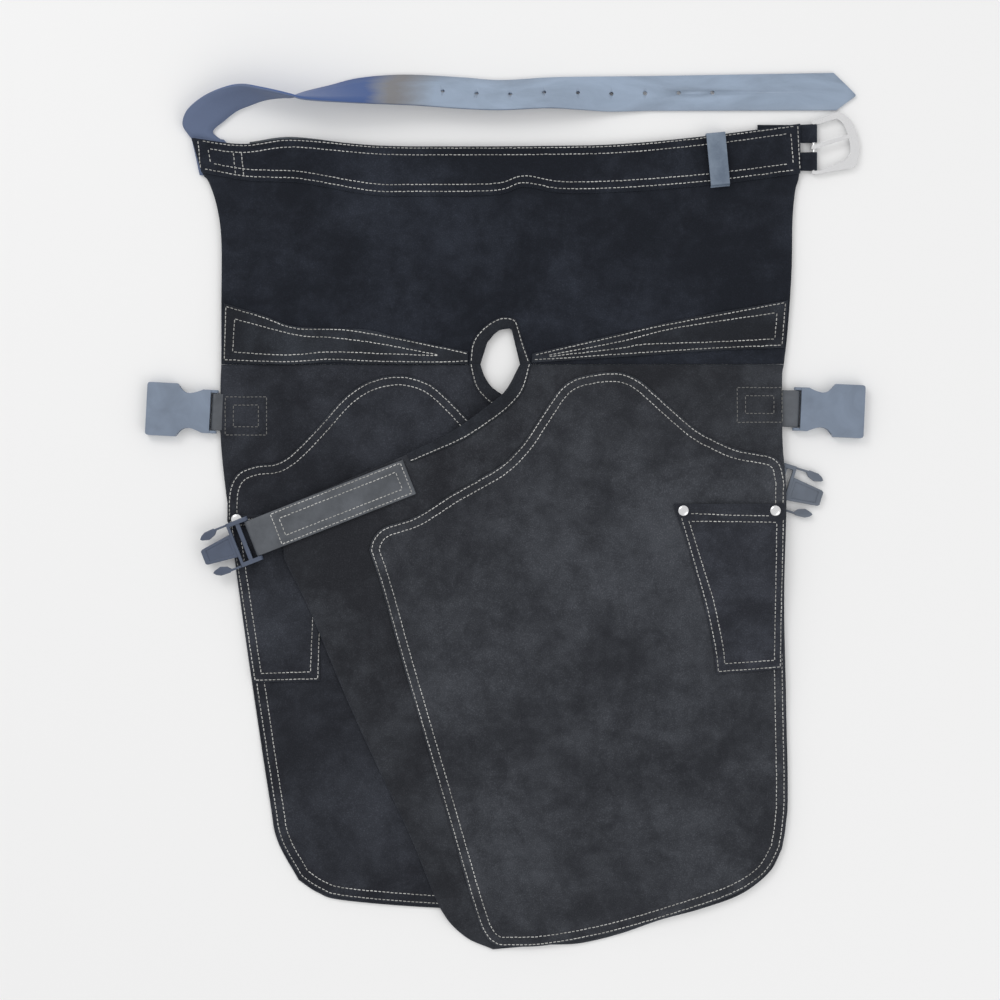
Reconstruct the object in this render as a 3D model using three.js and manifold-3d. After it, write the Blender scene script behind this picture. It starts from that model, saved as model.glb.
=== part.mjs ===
// A split-leg suede welding apron laid flat, in millimetres: +Z up, +Y towards the belt, rest plane at z = 0.
import * as THREE from "three";
import { mergeVertices } from "three/addons/utils/BufferGeometryUtils.js";
import Module from "manifold-3d";

const wasm = await Module();
wasm.setup();

// ---- Driving sizes ----------------------------------------------------------------------------------
const APRON_WIDTH = 584; // across both legs at the thighs
const APRON_LENGTH = 846; // waistband to the longer hem
const SUEDE = 1.5; // one ply of split leather
const GAP = 0.3; // clearance between touching pieces
const HIP_Y = 152.7; // seam line that both legs fold on
const LINING_PEEK = 2; // how far the waistband's backing stands above its top edge
const LINING_SHOWS = -150; // it shows only to the left of here

const STRAP_WIDTH = 38; // leg straps and tabs
const STRAP_PLY = 1.5;
const LEG_STRAP_LENGTH = 175;
const TAB_LENGTH = 52;
const BAR_RADIUS = 1.5; // plastic bar that a strap loops round
const LEFT_STRAP_ANGLE = -17.6;
const RIGHT_STRAP_ANGLE = 201.5;

const PLUG_HALF_WIDTH = STRAP_WIDTH / 2 + 5;
const PLUG_HEIGHT = 7;
const PLUG_BASE = 27; // strap end to front wall
const BLADE_LENGTH = 34;
const BLADE_THICKNESS = 4.6;
const ARM_LENGTH = 30;
const SOCKET_HEIGHT = 10;
const SOCKET_LENGTH = 66;
const SOCKET_HALF_WIDTH = STRAP_WIDTH / 2 + 8.5;

const BELT_THICKNESS = 3;
const BELT_HOLE_RADIUS = 2.5;
const KEEPER_WIDTH = 20;
const KEEPER_PLY = 1.2;
const PRONG_ROOM = 3.2; // each side of the prong, which lies aslant in its slot
const PRONG_SLOT_REACH = 14; // how far the slot runs back from the bar, so that the prong can swing up
const KEEPER_FOOT = 2.5; // what turns out flat below the band
const KEEPER_SLACK = 4.6; // room for the belt's end under the keeper
const BUCKLE_BAR_RADIUS = 2;
const BUCKLE_THICKNESS = 4;
const PRONG_WIDTH = 4;

const RIVET_RADIUS = 5.6;
const RIVET_DOME = 2.2;
const RIVET_SHANK = 1.6;
const WASHER_THICKNESS = 1;
const POCKET_GAPE = 6; // how far the right pocket's mouth stands open

// ---- Values worked out from them --------------------------------------------------------------------
const PATTERN_WIDTH = 584; // the size that the outlines below are drawn at
const PATTERN_LENGTH = 846;
const widthGrade = APRON_WIDTH / PATTERN_WIDTH;
const lengthGrade = APRON_LENGTH / PATTERN_LENGTH;
const PLY_STEP = SUEDE + GAP; // from one ply's underside to the next one's
const WEB = 2 * STRAP_PLY; // a strap doubled on itself
const WAIST_Z = WEB + GAP; // underside of the waist panel, over the tabs and the belt's root
const POCKET_STACK = 3 * PLY_STEP; // panel, patch and pocket of the leg below
const WASHER_ROOM = WASHER_THICKNESS + GAP; // a riveted leg stands this far off the table
const RIVET_STACK = WASHER_ROOM + POCKET_STACK + RIVET_DOME + GAP; // the same over a rivet's head
const LOOP_RADIUS = BAR_RADIUS + GAP + 0.1 + STRAP_PLY;

const at = (x, y) => new THREE.Vector2(x * widthGrade, y * lengthGrade);
const points = (list) => list.map(([x, y]) => at(x, y));
const radians = THREE.MathUtils.degToRad;

// ---- Materials --------------------------------------------------------------------------------------
const look = (color, roughness, metalness = 0) =>
  new THREE.MeshStandardMaterial({ color, roughness, metalness });
const SUEDE_BLACK = () => look(0x1d2026, 0.95);
const STRAP_GREY = () => look(0x4a4f57, 0.6);
const BELT_LEATHER = () => look(0x7f93b0, 0.45);
const PLASTIC = () => look(0x7c8ca2, 0.4);
const NICKEL = () => look(0xd8dade, 0.2, 1);

// ---- Solids -----------------------------------------------------------------------------------------
function solidFrom(geometry) {
  const bare = geometry.index ? geometry : geometry.clone();
  bare.deleteAttribute("normal");
  bare.deleteAttribute("uv");
  const merged = mergeVertices(bare, 1e-4);
  return new wasm.Manifold(
    new wasm.Mesh({
      numProp: 3,
      vertProperties: new Float32Array(merged.attributes.position.array),
      triVerts: new Uint32Array(merged.index.array),
    }),
  );
}

function meshFrom(name, solid, material) {
  const { numProp, vertProperties, triVerts } = solid.getMesh();
  const xyz = new Float32Array((vertProperties.length / numProp) * 3);
  for (let i = 0; i * numProp < vertProperties.length; i += 1) {
    xyz.set(vertProperties.subarray(i * numProp, i * numProp + 3), i * 3);
  }
  const geometry = new THREE.BufferGeometry();
  geometry.setAttribute("position", new THREE.BufferAttribute(xyz, 3));
  geometry.setIndex(new THREE.BufferAttribute(new Uint32Array(triVerts), 1));
  geometry.computeVertexNormals();
  const mesh = new THREE.Mesh(geometry, material);
  mesh.name = name;
  return mesh;
}

function prism(shape, bottom, top, curveSegments = 12) {
  const geometry = new THREE.ExtrudeGeometry(shape, {
    depth: top - bottom,
    bevelEnabled: false,
    curveSegments,
  });
  return solidFrom(geometry.translate(0, 0, bottom));
}

function box(x0, x1, y0, y1, z0, z1) {
  const geometry = new THREE.BoxGeometry(x1 - x0, y1 - y0, z1 - z0);
  return solidFrom(geometry.translate((x0 + x1) / 2, (y0 + y1) / 2, (z0 + z1) / 2));
}

function upright(radius, x, y, bottom, top, sides = 12) {
  const geometry = new THREE.CylinderGeometry(radius, radius, top - bottom, sides);
  return solidFrom(geometry.rotateX(Math.PI / 2).translate(x, y, (bottom + top) / 2));
}

const across = (radius, halfLength, x, z, sides = 12) =>
  solidFrom(new THREE.CylinderGeometry(radius, radius, 2 * halfLength, sides).translate(x, 0, z));

// A closed outline: each stretch is a list of points, and one of more than two is a smooth curve.
function outline(...stretches) {
  const path = [];
  for (const stretch of stretches) {
    const smooth = stretch.length > 2;
    const run = smooth ? new THREE.SplineCurve(stretch).getPoints(2 * (stretch.length - 1)) : stretch;
    for (const point of run) {
      if (!path.length || path[path.length - 1].distanceTo(point) > 0.01) path.push(point);
    }
  }
  if (path[0].distanceTo(path[path.length - 1]) < 0.01) path.pop();
  return new THREE.Shape(path);
}

// ---- Draped plies -----------------------------------------------------------------------------------
// A drape is a grid of underside heights; every ply laid on it follows the same facets.
function heightOn(drape, x, y) {
  const cell = (stops, value) => {
    let i = 0;
    while (i < stops.length - 2 && value > stops[i + 1]) i += 1;
    return [i, (value - stops[i]) / (stops[i + 1] - stops[i])];
  };
  const [i, s] = cell(drape.xs, x);
  const [j, t] = cell(drape.ys, y);
  const [a, b, c, d] = [drape.z[j][i], drape.z[j][i + 1], drape.z[j + 1][i + 1], drape.z[j + 1][i]];
  return s > t ? a + s * (b - a) + t * (c - b) : a + t * (d - a) + s * (c - d);
}

function slab(drape, lift, thickness) {
  const nx = drape.xs.length;
  const ny = drape.ys.length;
  const xyz = [];
  for (const up of [lift, lift + thickness]) {
    for (let j = 0; j < ny; j += 1) {
      for (let i = 0; i < nx; i += 1) xyz.push(drape.xs[i], drape.ys[j], drape.z[j][i] + up);
    }
  }
  const faces = [];
  const quad = (a, b, c, d) => faces.push(a, b, c, a, c, d);
  const id = (i, j, layer) => layer * nx * ny + j * nx + i;
  for (let j = 0; j < ny - 1; j += 1) {
    for (let i = 0; i < nx - 1; i += 1) {
      quad(id(i, j, 1), id(i + 1, j, 1), id(i + 1, j + 1, 1), id(i, j + 1, 1));
      faces.push(id(i, j, 0), id(i + 1, j + 1, 0), id(i + 1, j, 0));
      faces.push(id(i, j, 0), id(i, j + 1, 0), id(i + 1, j + 1, 0));
    }
  }
  for (let i = 0; i < nx - 1; i += 1) {
    quad(id(i, 0, 0), id(i + 1, 0, 0), id(i + 1, 0, 1), id(i, 0, 1));
    quad(id(i + 1, ny - 1, 0), id(i, ny - 1, 0), id(i, ny - 1, 1), id(i + 1, ny - 1, 1));
  }
  for (let j = 0; j < ny - 1; j += 1) {
    quad(id(0, j + 1, 0), id(0, j, 0), id(0, j, 1), id(0, j + 1, 1));
    quad(id(nx - 1, j, 0), id(nx - 1, j + 1, 0), id(nx - 1, j + 1, 1), id(nx - 1, j, 1));
  }
  const geometry = new THREE.BufferGeometry();
  geometry.setAttribute("position", new THREE.Float32BufferAttribute(xyz, 3));
  geometry.setIndex(faces);
  return solidFrom(geometry);
}

const FAR = 80; // above and below anything that an outline cuts
const ply = (shape, drape, level, thickness = SUEDE) =>
  slab(drape, level * PLY_STEP, thickness).intersect(prism(shape, -FAR, FAR));

const gradedDrape = (xs, rows) => ({
  xs: xs.map((x) => x * widthGrade),
  ys: rows.map(([y]) => y * lengthGrade),
  z: rows.map(([, ...heights]) => heights),
});

const waistDrape = gradedDrape([-420, 420], [
  [100, WAIST_Z, WAIST_Z],
  [480, WAIST_Z, WAIST_Z],
]);

// The left leg lies on the table, and rises over its washers, over its tab and to the waist seam.
const leftDrape = gradedDrape([-420, -200, -150, 420], [
  [-480, 0, 0, 0, 0],
  [-120, 0, 0, 0, 0],
  [-60, WASHER_ROOM, WASHER_ROOM, WASHER_ROOM, WASHER_ROOM],
  [30, WASHER_ROOM, WASHER_ROOM, WASHER_ROOM, WASHER_ROOM],
  [76, WAIST_Z, WAIST_Z, WASHER_ROOM, WASHER_ROOM],
  [105, WAIST_Z, WAIST_Z, WASHER_ROOM, WASHER_ROOM],
  [128, WAIST_Z, WAIST_Z, WAIST_Z, WAIST_Z],
  [200, WAIST_Z, WAIST_Z, WAIST_Z, WAIST_Z],
]);

// The right leg lies over all of the left one, and over the buckle that comes out at its right edge.
const OVER_PATCH = 2 * PLY_STEP;
const OVER_BINDING = WAIST_Z + OVER_PATCH;
const rightDrape = gradedDrape([-420, 420], [
  [-480, 0, 0],
  [-438, 0, 0],
  [-417, OVER_PATCH, OVER_PATCH],
  [-205, OVER_PATCH, OVER_PATCH],
  [-182, POCKET_STACK, POCKET_STACK],
  [-120, POCKET_STACK, POCKET_STACK],
  [-45, RIVET_STACK, RIVET_STACK],
  [105, RIVET_STACK, RIVET_STACK],
  [131.5, OVER_BINDING, OVER_BINDING],
  [HIP_Y, WAIST_Z, WAIST_Z],
  [200, WAIST_Z, WAIST_Z],
]);

// ---- Outlines (pattern millimetres, before grading) --------------------------------------------------
const bandTop = [[-325, 388], [-272, 381.5], [-220, 387], [-133, 380], [-57, 379], [45, 379.5], [121, 381.5],
  [210, 389.8], [307, 402.5]];
const bandBottom = [[307, 351], [212, 339], [121, 332], [59, 331], [20, 337], [-11, 329], [-93, 328],
  [-139, 329], [-209, 341], [-240, 342.6], [-272, 344.3], [-314.5, 352]];
const waistLeftSide = [[-314, 352], [-307.5, 343], [-299, 318], [-294, 282], [-294, 210], [-294, 153]];
const waistRightSide = [[290, 153], [294, 189], [298, 250], [299, 303], [302, 334], [306, 351]];
const holeArch = [[-25, 154], [-18, 175], [-7, 187], [7, 190], [16, 154]];
const leftOuter = [[-294, 152], [-295, 126], [-294, 64], [-283, -30], [-266, -154], [-244, -300],
  [-236, -342], [-214, -383], [-167, -404], [-67, -412], [30, -412]];
const leftInner = [[30, -412], [105, -280], [150, -180], [195, -70], [236, 17]];
const leftWing = [[250, 63], [150, 93], [90, 108], [40, 117], [-2, 121]];
const leftCrotch = [[-2, 121], [-14, 130], [-21, 141], [-25, 152]];
const rightCrotch = [[16, 152], [-2, 122], [-38, 94], [-65, 77], [-106, 57]];
const rightWingEnd = [[-234, 3], [-226, -46]];
const rightInner = [[-228, -50], [-202, -103], [-154, -217], [-99, -335], [-67, -411], [-42, -441],
  [-12, -455]];
const rightHem = [[-12, -455], [42, -453], [114, -440], [200, -414], [245, -397], [276, -373], [292, -340]];
const rightOuter = [[292, -340], [294, -279], [290, -92], [292, 12], [288, 74], [288, 137], [290, 152]];

const shift = (list, dx, dy) => list.map(([x, y]) => [x + dx, y + dy]);

// ---- Waist: panel, band, lining, yokes, binding ------------------------------------------------------
const hipLine = HIP_Y * lengthGrade;

function waistPanel() {
  const hem = hipLine + GAP;
  const shape = outline(
    points(shift(bandTop, 0, -1)),
    points([...waistRightSide].reverse()).map((p) => p.setY(Math.max(p.y, hem))),
    points([...holeArch].reverse()).map((p) => p.setY(Math.max(p.y, hem))),
    points([...waistLeftSide].reverse()).map((p) => p.setY(Math.max(p.y, hem))),
  );
  return ply(shape, waistDrape, 0);
}

const waistband = () => ply(outline(points(bandTop), points(bandBottom)), waistDrape, 1);

function waistbandLining() {
  const top = bandTop.map(([x, y]) => [x, x < LINING_SHOWS ? y + LINING_PEEK : y - GAP]);
  const whole = outline(points(top), points(bandBottom));
  const [left, right] = [at(-268, 200), at(256, 600)];
  const middle = box(left.x, right.x, left.y, right.y, -FAR, FAR);
  return ply(whole, waistDrape, -1).intersect(middle);
}

const leftYoke = () =>
  ply(outline(
    points([[-292, 216], [-250, 203], [-216, 192], [-146, 189], [-111, 180], [-38, 166]]),
    points([[-38, 156], [-134, 156], [-180, 158], [-292, 158]]),
  ), waistDrape, 1);

const rightYoke = () =>
  ply(outline(
    points([[29, 164], [120, 185], [197, 201], [294, 219]]),
    points([[290, 171], [216, 168], [120, 162], [29, 156]]),
  ), waistDrape, 1);

const waistBinding = () =>
  ply(outline(
    points([[-36, 154], [-33, 175], [-22, 190], [-7, 200], [3, 201], [12, 197], [19, 175], [26, 154]]),
    points([...holeArch].reverse()),
  ), waistDrape, 1);

// ---- Legs: panels, thigh patches, pockets, bindings --------------------------------------------------
const seam = (list) => points(list).map((p) => (p.y > hipLine - 5 ? p.setY(hipLine - GAP) : p));

const leftLegPanel = () =>
  ply(outline(seam(leftOuter), points(leftInner), points(leftWing), seam(leftCrotch)), leftDrape, 0);

const rightLegPanel = () =>
  ply(outline(
    seam(rightCrotch), points(rightWingEnd), points(rightInner), points(rightHem), seam(rightOuter),
  ), rightDrape, 0);

const leftBinding = () =>
  ply(outline(
    seam([[-36, 152], [-31, 131], [-22, 118], [-12, 111]]),
    seam([[-3, 120], [-14, 130], [-21, 141], [-25, 152]]),
  ), leftDrape, 1);

const rightBinding = () =>
  ply(outline(
    seam([[26, 152], [18, 126], [5, 109], [-41, 76], [-71, 63], [-86, 57]]),
    seam([[-92, 64], [-65, 77], [-38, 94], [-2, 122], [16, 152]]),
  ), rightDrape, 1);

const leftThighPatch = () =>
  ply(outline(
    points([[-288, -10], [-285, 29], [-259, 47], [-218, 63], [-169, 116], [-122, 140], [-76, 131],
      [-37, 94]]),
    points([[-10, 0], [20, -200], [10, -408]]),
    points([[10, -408], [-67, -409], [-165, -401], [-212, -380], [-233, -341], [-241, -300], [-263, -154],
      [-280, -30], [-288, -10]]),
  ), leftDrape, 1);

const rightThighPatch = () =>
  ply(outline(
    points([[-140, -40], [-124, -16], [-57, 17], [-3, 48], [57, 126], [111, 144], [168, 111], [216, 74],
      [278, 55], [289, 35]]),
    points([[289, 35], [290, 12], [288, -92], [292, -279], [289, -341], [273, -371], [243, -394], [199, -411],
      [113, -437], [42, -450], [-6, -452]]),
    points([[-6, -452], [-31, -413], [-63, -303], [-108, -148], [-140, -40]]),
  ), rightDrape, 1);

const leftPocket = () =>
  ply(outline(
    points([[-285, -1], [-172, -1]]),
    points([[-172, -1], [-190, -90], [-193, -177]]),
    points([[-260, -176], [-283, -20]]),
  ), leftDrape, 2);

// The right pocket's mouth stands open between its riveted corners.
function gapingDrape() {
  const xs = [170, 194, 212, 262, 272, 300].map((x) => x * widthGrade);
  const open = [0, 0, 1, 1, 0, 0];
  const rows = [[-190, 0], [-120, 0], [-45, 0.6], [20, 1]];
  return {
    xs,
    ys: rows.map(([y]) => y * lengthGrade),
    z: rows.map(([y, share]) => xs.map(
      (x, i) => heightOn(rightDrape, x, y * lengthGrade) + GAP + POCKET_GAPE * share * open[i],
    )),
  };
}

const rightPocket = () =>
  ply(outline(
    points([[175, 8], [287, 8]]),
    points([[286, -92], [285, -162]]),
    points([[220, -166], [213, -119], [191, -40], [176, -2]]),
  ), gapingDrape(), 2);

// ---- Rivets -----------------------------------------------------------------------------------------
const RIVETS = [
  { side: "left", place: "outer", spot: [-278, -8], drape: leftDrape, extra: 0 },
  { side: "left", place: "inner", spot: [-181, -8], drape: leftDrape, extra: 0 },
  { side: "right", place: "inner", spot: [185, 1], drape: rightDrape, extra: GAP },
  { side: "right", place: "outer", spot: [280, 1], drape: rightDrape, extra: GAP },
];

function rivetHeights({ spot, drape, extra }) {
  const { x, y } = at(...spot);
  const corners = [[-1, -1], [1, -1], [-1, 1], [1, 1], [0, 0]].map(
    ([u, v]) => heightOn(drape, x + u * RIVET_RADIUS, y + v * RIVET_RADIUS),
  );
  const under = Math.min(...corners);
  const over = Math.max(...corners) + 2 * PLY_STEP + SUEDE + extra + GAP;
  return { x, y, under, over };
}

function rivetCap(rivet) {
  const { x, y, under, over } = rivetHeights(rivet);
  const profile = [[0, 0], [1, 0], [0.92, 0.45], [0.6, 0.85], [0, 1]];
  const dome = new THREE.LatheGeometry(
    profile.map(([r, h]) => new THREE.Vector2(r * RIVET_RADIUS, h * RIVET_DOME)), 16,
  ).rotateX(Math.PI / 2);
  const shank = upright(RIVET_SHANK, x, y, under - WASHER_THICKNESS, over + RIVET_DOME * 0.4, 10);
  return solidFrom(dome.translate(x, y, over)).add(shank);
}

function rivetWasher(rivet) {
  const { x, y, under } = rivetHeights(rivet);
  const top = under - GAP;
  const disc = upright(RIVET_RADIUS * 0.85, x, y, top - WASHER_THICKNESS, top, 14);
  return disc.subtract(rivetHole(rivet));
}

function rivetHole(rivet) {
  const { x, y } = at(...rivet.spot);
  return upright(RIVET_SHANK + GAP, x, y, -FAR, FAR, 10);
}

function riveted(solid, side) {
  return RIVETS.filter((rivet) => rivet.side === side).reduce(
    (made, rivet) => made.subtract(rivetHole(rivet)), solid,
  );
}

// ---- Straps that loop round a bar -------------------------------------------------------------------
// Local frame of every buckle: its bar lies along Y at the origin, its free end points to +X.
function tangentAngle(x, z, radius, upper) {
  const spread = Math.acos(radius / Math.hypot(x, z));
  const bearing = (Math.atan2(z, x) + 2 * Math.PI) % (2 * Math.PI);
  return upper ? bearing - spread : bearing + spread;
}

function webLoop({ length, reach, low, width, barRadius = BAR_RADIUS, plyThickness = STRAP_PLY }) {
  const inner = barRadius + GAP + 0.1;
  const outer = inner + plyThickness;
  const high = low + 2 * plyThickness;
  const from = tangentAngle(-reach, low, outer, false);
  const to = tangentAngle(-reach, high, outer, true) + 2 * Math.PI;
  const profile = [new THREE.Vector2(-length, low), new THREE.Vector2(-reach, low)];
  const steps = 14;
  for (let i = 0; i <= steps; i += 1) {
    const angle = from + ((to - from) * i) / steps;
    profile.push(new THREE.Vector2(outer * Math.cos(angle), outer * Math.sin(angle)));
  }
  profile.push(new THREE.Vector2(-reach, high), new THREE.Vector2(-length, high));
  const shape = new THREE.Shape(profile);
  shape.holes.push(new THREE.Path().absarc(0, 0, inner, 0, 2 * Math.PI, true));
  const geometry = new THREE.ExtrudeGeometry(shape, { depth: width, bevelEnabled: false, curveSegments: 5 });
  return solidFrom(geometry.rotateX(Math.PI / 2).translate(0, width / 2, 0));
}

// ---- Side-release buckles ---------------------------------------------------------------------------
const LOOP_CLEARANCE = 0.8; // the body's end stands this far off the strap's loop
const socketBack = LOOP_RADIUS + LOOP_CLEARANCE;
const socketMouth = socketBack + SOCKET_LENGTH;
const EAR_RADIUS = 3.5;
const cheek = STRAP_WIDTH / 2 + 0.6; // inner face of ears and rails
const armOutside = PLUG_HALF_WIDTH + 0.5;

function ears(halfWidth, reach) {
  const pieces = [1, -1].map((side) => {
    const wall = halfWidth - cheek;
    const middle = side * (cheek + wall / 2);
    const y = [middle - wall / 2, middle + wall / 2];
    const end = across(EAR_RADIUS, wall / 2, 0, 0, 16).translate(0, middle, 0);
    return box(0, reach, y[0], y[1], -EAR_RADIUS, EAR_RADIUS).add(end);
  });
  return pieces[0].add(pieces[1]).add(across(BAR_RADIUS, cheek + 0.5, 0, 0));
}

function socket() {
  const back = SOCKET_HALF_WIDTH - 5;
  const side = (s) => [
    [new THREE.Vector2(socketBack, s * back), new THREE.Vector2(12, s * back)],
    [[12, back], [18, back - 2.6], [26, back - 4.5], [33, back - 2.4], [39, SOCKET_HALF_WIDTH]].map(
      ([x, y]) => new THREE.Vector2(x, s * y),
    ),
    [[socketMouth - 3, SOCKET_HALF_WIDTH], [socketMouth - 0.8, SOCKET_HALF_WIDTH - 0.8],
      [socketMouth, SOCKET_HALF_WIDTH - 3]].map(([x, y]) => new THREE.Vector2(x, s * y)),
  ];
  const far = side(-1).reverse().map((stretch) => stretch.reverse());
  const body = prism(outline(...side(1), ...far), -SOCKET_HEIGHT / 2, SOCKET_HEIGHT / 2);
  const room = BLADE_THICKNESS / 2 + GAP + 0.3;
  const throat = box(14, 24, -cheek + 4, cheek - 4, -room, room);
  const mouth = box(22, socketMouth + 1, -armOutside - GAP, armOutside + GAP, -room, room);
  return body.subtract(throat).subtract(mouth).add(ears(back, socketBack + 1));
}

const plugFront = PLUG_BASE - 7; // the bar lies 7 mm in from the strap end
const bladeTip = plugFront + BLADE_LENGTH;

function plug() {
  const wall = box(plugFront - 3, plugFront, -PLUG_HALF_WIDTH, PLUG_HALF_WIDTH, -EAR_RADIUS, EAR_RADIUS);
  const middleBar = box(6.5, 11, -cheek - 0.5, cheek + 0.5, -1.8, 1.8);
  const half = BLADE_THICKNESS / 2;
  const blade = prism(new THREE.Shape([[plugFront - 1, -12.5], [bladeTip - 2, -8.4], [bladeTip, -7],
    [bladeTip, 7], [bladeTip - 2, 8.4], [plugFront - 1, 12.5]].map(([x, y]) => new THREE.Vector2(x, y))),
  -half, half);
  const recess = prism(new THREE.Shape([[plugFront + 3, -9], [bladeTip - 5, -6], [bladeTip - 5, 6],
    [plugFront + 3, 9]].map(([x, y]) => new THREE.Vector2(x, y))), half - 0.9, half + 1);
  return ears(PLUG_HALF_WIDTH, plugFront).add(wall).add(middleBar).add(blade).subtract(recess);
}

function plugArm(side) {
  const root = plugFront + GAP;
  const tip = root + ARM_LENGTH;
  const y = armOutside;
  const path = [[root, y - 3], [root, y - 0.9], [root + 12.5, y - 0.9], [root + 13, y], [tip - 7, y - 0.6],
    [tip - 2.5, y - 3], [tip, y - 6], [tip - 2, y - 7.6], [tip - 9, y - 9.5], [root + 14, y - 7],
    [root + 10.5, y - 3]].map(([px, py]) => new THREE.Vector2(px, side * py));
  return prism(new THREE.Shape(path), -BLADE_THICKNESS / 2, BLADE_THICKNESS / 2);
}

// ---- Belt -------------------------------------------------------------------------------------------
// Stations along the strap: one edge, then the other, each with its height over the table. The root lies
// under the band, the strap banks up on edge through its turn and then falls grain side up.
const BELT_STATIONS = [
  [[-317, 350, 0], [-279, 345, 0]],
  [[-325, 386, 0], [-288, 381, 0]],
  [[-328, 391, 0.2], [-294, 386, 0]],
  [[-333.9, 401.6, 7], [-303, 395, 0.3]],
  [[-328.1, 415.6, 13], [-291.8, 405.7, 0.6]],
  [[-310.6, 428.7, 18], [-277.7, 416.6, 0.8]],
  [[-288.9, 436.4, 25], [-263.8, 422.6, 0.8]],
  [[-270.4, 438.3, 31], [-250.8, 427.6, 0.6]],
  [[-251.3, 434.6, 35], [-240, 430, 0.3]],
  [[-233.3, 430.3, 37.5], [-230, 431, 0]],
  [[-217.5, 426.2, 38], [-220, 431.5, 0]],
  [[-204.7, 422.8, 38], [-206, 436, 0]],
  [[-172.5, 420.8, 35], [-182, 442, 0]],
  [[-137.3, 419.7, 30], [-150, 450, 0]],
  [[-92.1, 418.7, 24], [-104, 453.5, 0]],
  [[-45.6, 415.7, 21.5], [-46, 450.9, 0]],
  [[-5, 414.3, 21], [-5, 447.9, 0]],
  [[44.6, 416.6, 19], [45, 450.7, 0]],
  [[79.5, 415.8, 12], [80, 451.7, 0]],
  [[109.7, 415.1, 4], [110, 452.2, 0]],
  [[150, 416.5, 0], [150, 452.7, 0]],
  [[345, 417, 0], [342, 456, 0]],
  [[356, 425.2, 0], [355, 443.5, 0]],
  [[364.6, 431.4, 0], [364.8, 433.6, 0]],
];
const BUCKLE_BAR_Y = 378; // height of the bar in the drawn size
const FIRST_HOLE_X = -64;
const HOLE_PITCH = 35;
const HOLE_COUNT = 9;

function beltSections() {
  const rise = BUCKLE_BAR_Y * (lengthGrade - 1); // the belt keeps its width, and moves with its buckle
  const place = ([x, y, z]) => new THREE.Vector3(x * widthGrade, y + rise, z + BELT_THICKNESS / 2);
  const edges = BELT_STATIONS.map(([a, b]) => [place(a), place(b)]);
  const middle = edges.map(([a, b]) => a.clone().add(b).multiplyScalar(0.5));
  return edges.map(([a, b], i) => {
    const ahead = middle[Math.min(i + 1, middle.length - 1)];
    const behind = middle[Math.max(i - 1, 0)];
    const along = ahead.clone().sub(behind).normalize();
    const face = a.clone().sub(b).cross(along).normalize();
    return { a, b, centre: middle[i], face };
  });
}

function beltStrap() {
  const sections = beltSections();
  const xyz = [];
  for (const { a, b, face } of sections) {
    const half = face.clone().multiplyScalar(BELT_THICKNESS / 2);
    const corners = [[a, 1], [b, 1], [b, -1], [a, -1]].map(
      ([p, way]) => p.clone().addScaledVector(half, way),
    );
    for (const corner of corners) {
      xyz.push(corner.x, corner.y, Math.max(corner.z, 0));
    }
  }
  const faces = [0, 1, 2, 0, 2, 3];
  for (let i = 0; i < sections.length - 1; i += 1) {
    for (let k = 0; k < 4; k += 1) {
      const [p, q] = [4 * i + k, 4 * i + ((k + 1) % 4)];
      faces.push(p, p + 4, q + 4, p, q + 4, q);
    }
  }
  const last = 4 * (sections.length - 1);
  faces.push(last, last + 2, last + 1, last, last + 3, last + 2);
  const geometry = new THREE.BufferGeometry();
  geometry.setAttribute("position", new THREE.Float32BufferAttribute(xyz, 3));
  geometry.setIndex(faces);
  let strap = solidFrom(geometry);
  for (let n = 0; n < HOLE_COUNT; n += 1) {
    strap = strap.subtract(beltHole(sections, (FIRST_HOLE_X + n * HOLE_PITCH) * widthGrade));
  }
  return strap;
}

function beltHole(sections, x) {
  const run = sections.slice(10);
  const i = run.findIndex((section, k) => k + 1 < run.length && run[k + 1].centre.x > x);
  const share = (x - run[i].centre.x) / (run[i + 1].centre.x - run[i].centre.x);
  const centre = run[i].centre.clone().lerp(run[i + 1].centre, share);
  const face = run[i].face.clone().lerp(run[i + 1].face, share).normalize();
  const punch = new THREE.CylinderGeometry(BELT_HOLE_RADIUS, BELT_HOLE_RADIUS, 16, 10);
  punch.applyQuaternion(new THREE.Quaternion().setFromUnitVectors(new THREE.Vector3(0, 1, 0), face));
  return solidFrom(punch.translate(centre.x, centre.y, centre.z));
}

// ---- Waist buckle, its chape, and the keeper ---------------------------------------------------------
const buckleBar = { ...at(321, BUCKLE_BAR_Y), z: BUCKLE_BAR_RADIUS + GAP + 0.1 + STRAP_PLY + 0.1 };
const chapeWidth = 47.6;
const prongSlot = PRONG_WIDTH / 2 + PRONG_ROOM;

function buckleChape() {
  const loop = webLoop({
    length: 58,
    reach: 13,
    low: -buckleBar.z,
    width: chapeWidth,
    barRadius: BUCKLE_BAR_RADIUS,
    plyThickness: STRAP_PLY,
  });
  return loop.subtract(box(-PRONG_SLOT_REACH, 8, -prongSlot, prongSlot, -FAR, FAR));
}

function buckleFrame() {
  const v = (list) => list.map(([x, y]) => new THREE.Vector2(x, y));
  const outer = outline(
    v([[-2, -27.4], [2, -28]]),
    v([[38, -21.5], [44, -17], [47, 0], [45, 12], [38, 29], [25, 37]]),
    v([[2, 28.5], [-2, 27.4]]),
  );
  const side = chapeWidth / 2 + 0.5;
  const inner = outline(
    v([[-4, -side], [6, -side]]),
    v([[31, -14], [37, -8], [38, 0], [36, 10], [31, 24], [23.5, 30]]),
    v([[6, side], [-4, side]]),
  );
  const half = BUCKLE_THICKNESS / 2;
  const rim = prism(outer, -half, half).subtract(prism(inner, -half - 1, half + 1));
  return rim.add(across(BUCKLE_BAR_RADIUS, side + 0.8, 0, 0, 14));
}

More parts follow.
